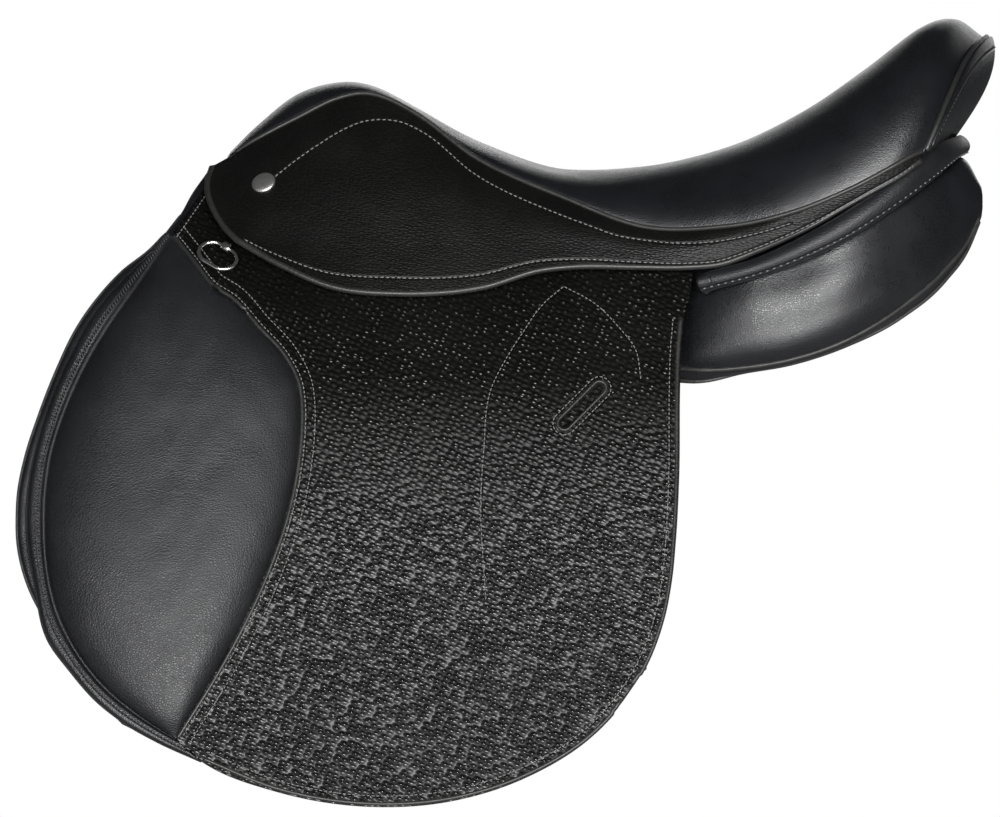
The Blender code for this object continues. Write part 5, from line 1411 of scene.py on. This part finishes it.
@dataclass
class Panel:
    """Stuffed cushion on the horse's back, with its gusset seams."""

    reference_z: float = 86.0
    piping: float = 0.0011
    stations: Points = field(default_factory=lambda: [
        (-241.0, 0.76, (31, 97), (35, 96), (60, 64), (82, 31), (75, 22), (27, 88)),
        (-236.0, 0.76, (27, 104), (33, 102.5), (62, 64), (92, 22), (80, 8), (19, 93)),
        (-216.0, 0.74, (28, 106), (33.5, 103.5), (65.5, 63), (91, 14), (77, 0), (20, 94)),
        (-185.0, 0.60, (29, 106), (34, 102), (69, 60), (90, 8), (75, -6), (21, 92)),
        (-140.0, 0.40, (29, 104), (34, 98), (70, 56), (90, 4), (75, -10), (22, 88)),
        (-80.0, 0.15, (30, 94), (43, 85), (72, 47), (90, 2), (75, -12), (25, 76)),
        (-20.0, 0.0, (31, 86), (56, 77), (76, 45), (89, 4), (76, -9), (27, 62)),
        (37.0, 0.0, (31, 84), (69, 73), (79.5, 45), (87, 13), (76, 1), (28, 54)),
        (56.0, 0.0, (31, 86), (86, 70), (93.5, 43), (95, 15), (84, 3), (28, 52)),
        (78.0, 0.0, (31, 90), (98, 70), (103, 45), (102, 19), (91, 7), (28, 52)),
        (105.0, 0.0, (31, 95), (101.5, 76), (107, 50), (106, 23), (94, 12), (28, 53)),
        (135.0, 0.0, (31, 106), (104, 88), (108, 61), (105, 34), (93, 22), (28, 57)),
        (165.0, 0.0, (33, 118), (90, 106), (95, 78), (94, 50), (82, 38), (30, 62)),
        (190.0, 0.0, (36, 128), (70, 122), (77.5, 96), (78, 70), (68, 58), (34, 68)),
        (203.0, 0.0, (40, 126), (58, 124), (64.5, 105), (66, 86), (58, 76), (38, 78)),
        (209.5, 0.0, (46, 114), (53, 113), (56, 104.5), (56, 96), (52, 92), (46, 94))])

    def section(self, corners: list[tuple[float, float]], count: int) -> np.ndarray:
        """Closed smooth ring through the corners and along the sides."""
        points = []
        for a, b in zip(corners, corners[1:] + corners[:1]):
            a, b = np.array(a, float), np.array(b, float)
            points += [a + (b - a) * share for share in (0.18, 0.5, 0.82)]
        ring = np.array(points + points[:3])
        knots = arc_length(ring)
        length = knots[len(points)]
        places = knots[1] + np.linspace(0, length, count, endpoint=False)
        return hermite(knots, ring, np.where(places > knots[-1], places - length, places))

    def rings(self, rows: int, count: int) -> np.ndarray:
        """Rings of the cushion from front to rear."""
        table = []
        for x, lean, *corners in self.stations:
            ring = self.section(list(corners), count)
            xs = x + lean * (ring[:, 1] - self.reference_z)
            table.append(np.stack([xs, ring[:, 0], ring[:, 1]], -1) * MM)
        knots = np.array([row[0] for row in self.stations])
        share = np.linspace(0, 1, rows)
        places = knots[0] + (knots[-1] - knots[0]) * (1 - (1 - share) ** 1.6)
        flat = hermite(knots, np.array(table).reshape(len(table), -1), places)
        return flat.reshape(rows, count, 3)

    def build(self, side: Side, finishes: Finishes) -> bpy.types.Object:
        """Make one panel."""
        rows, count = 150, 72
        rings = self.rings(rows, count) * side.mirror
        ends = []
        for row, share in ((0, 0.35), (0, 0.75), (-1, 0.75), (-1, 0.35)):
            centre = rings[row].mean(axis=0)
            ends.append(centre + (rings[row] - centre) * share)
        way = unit(rings[-1].mean(axis=0) - rings[-2].mean(axis=0))
        ends[2] += way * 0.0012
        ends[3] += way * 0.0018
        rings = np.concatenate([ends[:2], rings, ends[2:]])
        piece = Piece(f"panel_cushion_{side.label}")
        piece.add(turned_loft(rings, side), finishes.calf)
        centres = rings.mean(axis=1, keepdims=True)
        for column in self.seam_columns(rings):
            line = rings[4:-4, column] + unit(rings[4:-4, column] - centres[4:-4, 0]) * 0.0003
            piece.add(tube(line, self.piping, 8), finishes.edge)
            piece.edges.append(line)
        item = piece.make()
        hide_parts(f"panel_{side.label}")
        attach(item, ROOT)
        return item

    def seam_columns(self, rings: np.ndarray) -> list[int]:
        """Columns of the outer foot and the inner foot, where the gusset is sewn."""
        mid = rings[rings.shape[0] // 2]
        wide = int(np.argmax(np.abs(mid[:, 1]) - mid[:, 2]))
        low = int(np.argmax(-mid[:, 2] - 0.3 * np.abs(mid[:, 1])))
        return [wide, low]


@dataclass
class ChannelLining:
    """Leather that joins the two panels, and the facing round the front of the arch."""

    half_width: float = 0.029
    arching: float = 6.0
    drop: float = 0.002
    facing_swell: float = 0.0008
    thickness: float = 0.0018

    def build(self, finishes: Finishes) -> list[bpy.types.Object]:
        """Make both pieces."""
        stations = along([(-182.0, 112.0), (-130.0, 109.5), (-70.0, 98.0), (-20.0, 91.5),
                          (40.0, 89.5), (100.0, 99.5), (150.0, 117.0), (186.0, 130.0)], 90)
        across = np.linspace(-self.half_width, self.half_width, 25)
        grid = np.array([[(x, y, z - self.drop - self.arching * y * y) for y in across]
                         for x, z in stations])
        piece = Piece("channel_leather")
        piece.add(rounded_sheet(facing(grid, (0, 0, 1)), self.thickness), finishes.lining)
        channel = piece.make()
        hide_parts("channel_lining")
        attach(channel, ROOT)
        upper = [(-213.5, 36.0, 120.0), (-210.0, 31.0, 124.2), (-207.0, 22.0, 127.9),
                 (-206.2, 12.0, 129.6), (-206.0, 0.0, 130.2)]
        lower = [(-211.0, 29.0, 114.0), (-208.0, 25.5, 117.5), (-205.5, 18.0, 120.5),
                 (-204.5, 9.0, 121.8), (-204.2, 0.0, 122.2)]
        share = shares(9)
        grid = ruled(both_sides(along(upper, 40)), both_sides(along(lower, 40)), share)
        grid[..., 0] -= self.facing_swell * np.sin(math.pi * share[..., 0])
        piece = Piece("arch_leather")
        piece.add(rounded_sheet(facing(grid, (-1, 0, 0)), self.thickness), finishes.calf)
        arch = piece.make()
        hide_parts("pommel_facing")
        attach(arch, ROOT)
        return [channel, arch]


@dataclass
class Girthing:
    """Three punched girth straps, and the guard that is threaded on them."""

    top_z: float = 0.062
    top_width: float = 0.0830
    slope: float = 0.29
    bend_z: float = -0.066
    free_slope: float = 0.32
    length: float = 0.175
    width: float = 0.025
    pitch: float = 0.033
    middle_x: float = -0.010
    thickness: float = 0.0034
    hole: float = 0.0027
    hole_pitch: float = 0.022
    holes: int = 5
    tip: Points = field(default_factory=lambda: [
        (0.010, 0.0117), (0.006, 0.0100), (0.0025, 0.0072), (0.0, 0.0035)])
    tip_length: float = 0.014
    first_hole: float = 0.040
    guard_thickness: float = 0.0016
    guard_play: float = 0.0005
    guard_margin: float = 0.004
    guard_taper: float = 0.004
    guard_z: tuple[float, float] = (0.022, -0.062)

    def path(self, z: np.ndarray) -> np.ndarray:
        """Half width of the straps' outer face."""
        held = self.top_width + self.slope * (self.top_z - np.maximum(z, self.bend_z))
        return held + self.free_slope * np.maximum(self.bend_z - z, 0.0)

    def build(self, side: Side, finishes: Finishes) -> list[bpy.types.Object]:
        """Make the straps and the guard of one side."""
        made = []
        for name, shift in (("front", -1), ("middle", 0), ("rear", 1)):
            made.append(self.strap(name, self.middle_x + shift * self.pitch, side, finishes))
        made.append(self.guard(side, finishes))
        return made

    def sheet(self, centre: float, half: np.ndarray, z: np.ndarray, lift: float, across: int,
              side: Side) -> np.ndarray:
        """Grid over the straps' outer face.

        Args:
            centre: place of the middle line along X.
            half: half width at each level.
            z: levels, from the top down.
            lift: height above the face.
            across: points across.
            side: side of the saddle.

        Returns:
            The grid, facing outward.
        """
        u = np.linspace(-1, 1, across)
        x = centre + half[:, None] * u[None]
        y = np.repeat((self.path(z) + lift)[:, None], across, 1)
        return on_side(np.stack([x, np.repeat(z[:, None], across, 1)], -1), y, side)

    def strap(self, name: str, centre: float, side: Side, finishes: Finishes) -> bpy.types.Object:
        """Make one strap with its punched holes and stitched edges."""
        end = self.top_z - self.length
        tip = np.array(self.tip)
        z = np.r_[np.linspace(self.top_z, end + self.tip_length, 60), end + tip[:, 0]]
        half = np.r_[np.full(60, self.width / 2), tip[:, 1]]
        grid = self.sheet(centre, half, z, 0.0, 15, side)
        piece = Piece(f"girth_billet_{name}_{side.label}")
        piece.add(rounded_sheet(grid, self.thickness), finishes.hide)
        normals = grid_normals(grid)
        for column, border in ((1, 0), (-2, -1)):
            piece.sew(grid[1:-4, column], normals[1:-4, column], SEAM, finishes.dark_thread)
            piece.edges.append(grid[:, border])
        item = piece.make()
        for index in range(self.holes):
            self.punch(item, centre, end + self.first_hole + index * self.hole_pitch, side)
        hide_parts(f"girth_strap_{name}_{side.label}")
        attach(item, f"girth_straps_{side.label}")
        return item

    def punch(self, item: bpy.types.Object, x: float, z: float, side: Side) -> None:
        """Punch one round hole."""
        y = float(self.path(np.array(z))) * side.value
        turns = np.linspace(0, 2 * math.pi, 20, endpoint=False)
        rings = np.stack([np.stack([x + self.hole * np.cos(turns), np.full(20, y + d),
                                    z + self.hole * np.sin(turns)], -1) for d in (-0.02, 0.02)])
        subtract(item, "punch", rings)

    def guard(self, side: Side, finishes: Finishes) -> bpy.types.Object:
        """Make the buckle guard."""
        count = 40
        taper = np.linspace(0, 1, count) ** 2 * self.guard_taper
        half = self.pitch + self.width / 2 + self.guard_margin - taper
        lift = self.guard_thickness + self.guard_play
        grid = self.sheet(self.middle_x, half, np.linspace(*self.guard_z, count), lift, count, side)
        piece = Piece(f"guard_leather_{side.label}")
        piece.add(rounded_sheet(grid, self.guard_thickness), finishes.hide)
        normals = grid_normals(grid)
        for row in (2, -3):
            piece.sew(grid[row], normals[row], SEAM, finishes.dark_thread)
        item = piece.make()
        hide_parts(f"buckle_guard_{side.label}")
        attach(item, f"girth_straps_{side.label}")
        return item


@dataclass
class KneeBlock:
    """Covered foam block on the sweat flap, and the pocket over the tree's point."""

    stand_off: float = 0.0010
    pocket_drop: float = 0.0037
    pocket: float = 0.0016

    def build(self, side: Side, finishes: Finishes) -> list[bpy.types.Object]:
        """Make both pieces of one side."""
        outline = along([(-252, 20), (-226, 26), (-206, -6), (-206, -66), (-226, -112), (-252, -112),
                         (-274, -66), (-272, -10), (-252, 20)], 73)[:-1]
        centre = outline.mean(axis=0)
        rings = []
        for share, height in ((0.5, -0.0002), (1.0, 0.0), (1.0, 0.0024), (0.965, 0.0042), (0.90, 0.0056),
                              (0.78, 0.0064), (0.55, 0.0068), (0.25, 0.0070)):
            ring = centre + (outline - centre) * share
            x, z = ring[:, 0], ring[:, 1]
            rings.append(np.stack([x, sweat_width(x, z) + self.stand_off + height, z], -1) * side.mirror)
        piece = Piece(f"knee_block_cover_{side.label}")
        piece.add(turned_loft(np.array(rings), side), finishes.lining)
        block = piece.make()
        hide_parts(f"knee_block_{side.label}")
        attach(block, ROOT)
        bounds = ([(-229, 86), (-212, 86)], [(-246, 58), (-226, 54), (-213, 60)],
                  [(-229, 86), (-238, 72), (-246, 58)], [(-212, 86), (-206, 74), (-213, 60)])
        grid = FLAP.lift(coons(*(along(points, 20) for points in bounds)), self.pocket_drop, side)
        piece = Piece(f"point_leather_{side.label}")
        piece.add(rounded_sheet(grid, self.pocket), finishes.hide)
        piece.sew(grid[-3], grid_normals(grid)[-3], SEAM, finishes.dark_thread)
        pocket = piece.make()
        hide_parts(f"point_pocket_{side.label}")
        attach(pocket, ROOT)
        return [block, pocket]


@dataclass
class Fittings:
    """Nickel ring with its clip, and the nail head at the pommel."""

    skirt: Skirt
    ring_length: float = 0.0225
    ring_width: float = 0.0150
    ring_shift: float = -0.0030
    wire: float = 0.00120
    lift: float = 0.00335
    clip: float = 0.0009
    clip_play: float = 0.0004
    clip_tail: float = 0.0040
    clip_half: float = 0.0026
    ring_way: tuple[float, float, float] = (0.70, 0.0, -0.72)
    place: tuple[float, float] = (-0.2040, 0.0745)
    stud_place: tuple[float, float] = (-0.1860, 0.1140)
    stud_radius: float = 0.0068

    def frame(self, side: Side) -> tuple[np.ndarray, np.ndarray, np.ndarray, np.ndarray]:
        """Place of the ring's straight side, its direction, the hang and outward."""
        x, z = self.place
        step = 0.002

        def width(along_x: float, along_z: float) -> float:
            """Half width of the flap beside the ring's place."""
            return float(FLAP.width(np.array(x + along_x), np.array(z + along_z)))

        slope_x = (width(step, 0.0) - width(-step, 0.0)) / (2 * step)
        slope_z = (width(0.0, step) - width(0.0, -step)) / (2 * step)
        out = unit(np.array([-slope_x, side.value, -slope_z]))
        rough = np.array(self.ring_way)
        straight = unit(rough - out * (rough @ out))
        hang = np.cross(straight, out)
        hang = -hang if hang[0] > 0 else hang
        return np.array([x, width(0.0, 0.0) * side.value, z]), straight, hang, out

    def build(self, side: Side, finishes: Finishes) -> list[bpy.types.Object]:
        """Make the ring, the clip and the nail head of one side."""
        place, straight, hang, out = self.frame(side)
        place = place + straight * self.ring_shift
        half, bend = self.ring_length / 2, self.ring_width / 2
        ends = []
        for centre, start in ((half - bend, math.pi / 2), (bend - half, -math.pi / 2)):
            turns = np.linspace(start, start - math.pi, 40)
            ends.append(np.stack([centre + bend * np.cos(turns), bend - bend * np.sin(turns)], -1))
        flat = evenly(np.concatenate(ends + [ends[0][:1]]), 121)[:-1]
        path = place + straight * flat[:, :1] + hang * flat[:, 1:] + out * self.lift
        up = np.repeat(out[None], len(path), 0)
        piece = Piece(f"dee_wire_{side.label}")
        piece.add(tube(path, self.wire, 14, closed=True, up=up), finishes.nickel)
        ring = piece.make()
        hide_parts(f"dee_ring_{side.label}")
        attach(ring, f"dee_ring_{side.label}")
        piece = Piece(f"dee_clip_{side.label}")
        inner, outer = self.wire + self.clip_play, self.wire + self.clip_play + self.clip
        turns = np.linspace(-math.pi / 2, math.pi / 2, 17)
        arc = np.stack([-np.cos(turns), -np.sin(turns)], -1)
        tail = self.clip_tail
        loop = np.concatenate([[(tail, outer)], arc * outer, [(tail, -outer), (tail, -inner)],
                               arc[::-1] * inner, [(tail, inner)]])
        rings = []
        for share, grow in ((-1.0, 0.93), (-0.9, 1.0), (0.9, 1.0), (1.0, 0.93)):
            rings.append(place + straight * (self.clip_half * share) - hang * loop[:, :1] * grow
                         + out * (self.lift + loop[:, 1:] * grow))
        piece.add(turned_loft(np.array(rings), side), finishes.nickel)
        clip_item = piece.make()
        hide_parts(f"dee_staple_{side.label}")
        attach(clip_item, ROOT)
        return [ring, clip_item, self.stud(side, finishes)]

    def stud(self, side: Side, finishes: Finishes) -> bpy.types.Object:
        """Make the nail head on the skirt."""
        grid = self.skirt.grid(side)
        tree = BVHTree.FromPolygons([tuple(p) for p in grid.reshape(-1, 3)],
                                    [tuple(f) for f in grid_faces(*grid.shape[:2])])
        places, normals = drape(tree, np.array([self.stud_place]), side)
        out = normals[0]
        along_x = unit(np.array([1.0, 0.0, 0.0]) - out * out[0])
        up = np.cross(out, along_x)
        rings = []
        profile = [(0.02, -0.0006), (0.98, -0.0006), (1.0, 0.0002), (0.985, 0.0007), (0.93, 0.00105),
                   (0.80, 0.0014), (0.60, 0.0017), (0.35, 0.0019), (0.02, 0.0020)]
        turns = np.linspace(0, 2 * math.pi, 56, endpoint=False)
        for share, height in profile:
            radius = self.stud_radius * share
            rings.append(places[0] + out * height + along_x * (radius * np.cos(turns))[:, None]
                         + up * (radius * np.sin(turns))[:, None])
        piece = Piece(f"nail_head_{side.label}")
        piece.add(loft(np.array(rings)), finishes.silver)
        item = piece.make()
        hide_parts(f"stud_{side.label}")
        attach(item, ROOT)
        return item


def dress_frame(finishes: Finishes) -> None:
    """Give the frame's own pieces their materials."""
    looks = {Slot.PLASTIC.value: finishes.plastic, Slot.WEB.value: finishes.web,
             Slot.FOAM.value: finishes.foam, Slot.STEEL.value: finishes.steel}
    slots = {part["node"]: part["material_slot"] for part in frame["record"]["subparts"]}
    for name, item in frame["nodes"].items():
        look = looks.get(slots[name])
        if look is None:
            continue
        item.data.materials.clear()
        item.data.materials.append(look)


# Studio


@dataclass
class Studio:
    """Camera, lamps, world and floor."""

    middle: tuple[float, float, float] = (-0.0555, 0.0, -0.0105)
    near_plane: float = -0.105
    span: float = 0.550
    distance: float = 12.0
    floor_z: float = -0.262
    floor_glow: float = 0.85
    floor_reach: float = 3.0
    floor_rear: float = 1.2
    room_light: float = 0.06
    lamps: tuple = (("front", (0.10, -2.6, 0.24), (2.4, 0.60), 115.0),
                    ("low", (0.0, -2.2, -0.60), (2.0, 0.40), 5.0),
                    ("far", (0.30, 2.2, 0.75), (2.4, 1.0), 12.0))

    def build(self) -> None:
        """Make the studio."""
        self.camera()
        self.world()
        self.floor()
        for name, place, size, power in self.lamps:
            self.lamp(name, place, size, power)

    def camera(self) -> None:
        """Make the camera, square on to the near side."""
        data = bpy.data.cameras.new("camera")
        data.sensor_width = 36.0
        data.lens = 36.0 * self.distance / self.span
        data.clip_end = 500.0
        item = bpy.data.objects.new("camera", data)
        item.location = (self.middle[0], self.near_plane - self.distance, self.middle[2])
        item.rotation_euler = (math.pi / 2, 0.0, 0.0)
        bpy.context.scene.collection.objects.link(item)
        bpy.context.scene.camera = item

    def lamp(self, name: str, place: tuple[float, float, float], size: tuple[float, float],
             power: float) -> None:
        """Make one soft box aimed at the saddle."""
        data = bpy.data.lights.new(name, "AREA")
        data.shape = "RECTANGLE"
        data.size, data.size_y = size
        data.energy = power
        item = bpy.data.objects.new(name, data)
        item.location = place
        way = Vector(self.middle) - Vector(place)
        item.rotation_euler = way.to_track_quat("-Z", "Y").to_euler()
        item.visible_camera = False
        bpy.context.scene.collection.objects.link(item)

    def world(self) -> None:
        """Make a dim room that the camera sees as white."""
        world = bpy.data.worlds.new("studio")
        bpy.context.scene.world = world
        world.use_nodes = True
        nodes, links = world.node_tree.nodes, world.node_tree.links
        background = nodes["Background"]
        white = nodes.new("ShaderNodeBackground")
        white.inputs["Color"].default_value = (1, 1, 1, 1)
        background.inputs["Color"].default_value = (0.86, 0.88, 0.92, 1)
        background.inputs["Strength"].default_value = self.room_light
        mix = nodes.new("ShaderNodeMixShader")
        path = nodes.new("ShaderNodeLightPath")
        links.new(path.outputs["Is Camera Ray"], mix.inputs[0])
        links.new(background.outputs[0], mix.inputs[1])
        links.new(white.outputs[0], mix.inputs[2])
        links.new(mix.outputs[0], nodes["World Output"].inputs["Surface"])

    def floor(self) -> None:
        """Make the pale floor."""
        mesh = bpy.data.meshes.new("floor")
        reach, rear = self.floor_reach, self.floor_rear
        corners = [(-reach, -reach), (reach, -reach), (reach, rear), (-reach, rear)]
        mesh.from_pydata([(x, y, self.floor_z) for x, y in corners], [], [(0, 1, 2, 3)])
        material = bpy.data.materials.new("floor")
        material.use_nodes = True
        nodes, links = material.node_tree.nodes, material.node_tree.links
        shader = nodes["Principled BSDF"]
        shader.inputs["Base Color"].default_value = (0.86, 0.86, 0.86, 1)
        shader.inputs["Roughness"].default_value = 0.9
        glow = nodes.new("ShaderNodeEmission")
        glow.inputs["Strength"].default_value = self.floor_glow
        total = nodes.new("ShaderNodeAddShader")
        path = nodes.new("ShaderNodeLightPath")
        mix = nodes.new("ShaderNodeMixShader")
        links.new(shader.outputs[0], total.inputs[0])
        links.new(glow.outputs[0], total.inputs[1])
        links.new(path.outputs["Is Camera Ray"], mix.inputs[0])
        links.new(shader.outputs[0], mix.inputs[1])
        links.new(total.outputs[0], mix.inputs[2])
        links.new(mix.outputs[0], nodes["Material Output"].inputs["Surface"])
        mesh.materials.append(material)
        item = bpy.data.objects.new("floor", mesh)
        bpy.context.scene.collection.objects.link(item)


def main() -> None:
    """Build the dressed saddle in its studio."""
    logging.basicConfig(level=logging.INFO, format="%(message)s")
    bpy.context.scene.view_settings.view_transform = "Standard"
    finishes = Finishes()
    dress_frame(finishes)
    seat = Seat()
    seat.build(finishes)
    LOG.info("seat")
    cantle = Cantle(seat)
    cantle.build_back(finishes)
    cantle.build_band(finishes)
    LOG.info("cantle and band")
    ChannelLining().build(finishes)
    skirt = Skirt(seat)
    for side in Side:
        skirt.build(side, finishes)
        Flap().build(side, finishes)
        PadTrim().build(side, finishes)
        KneePad().build(side, finishes)
        SweatFlap().build(side, finishes)
        Panel().build(side, finishes)
        Girthing().build(side, finishes)
        KneeBlock().build(side, finishes)
        Fittings(skirt).build(side, finishes)
        LOG.info("%s side", side.label)
    Studio().build()


if __name__ == "__main__":
    main()
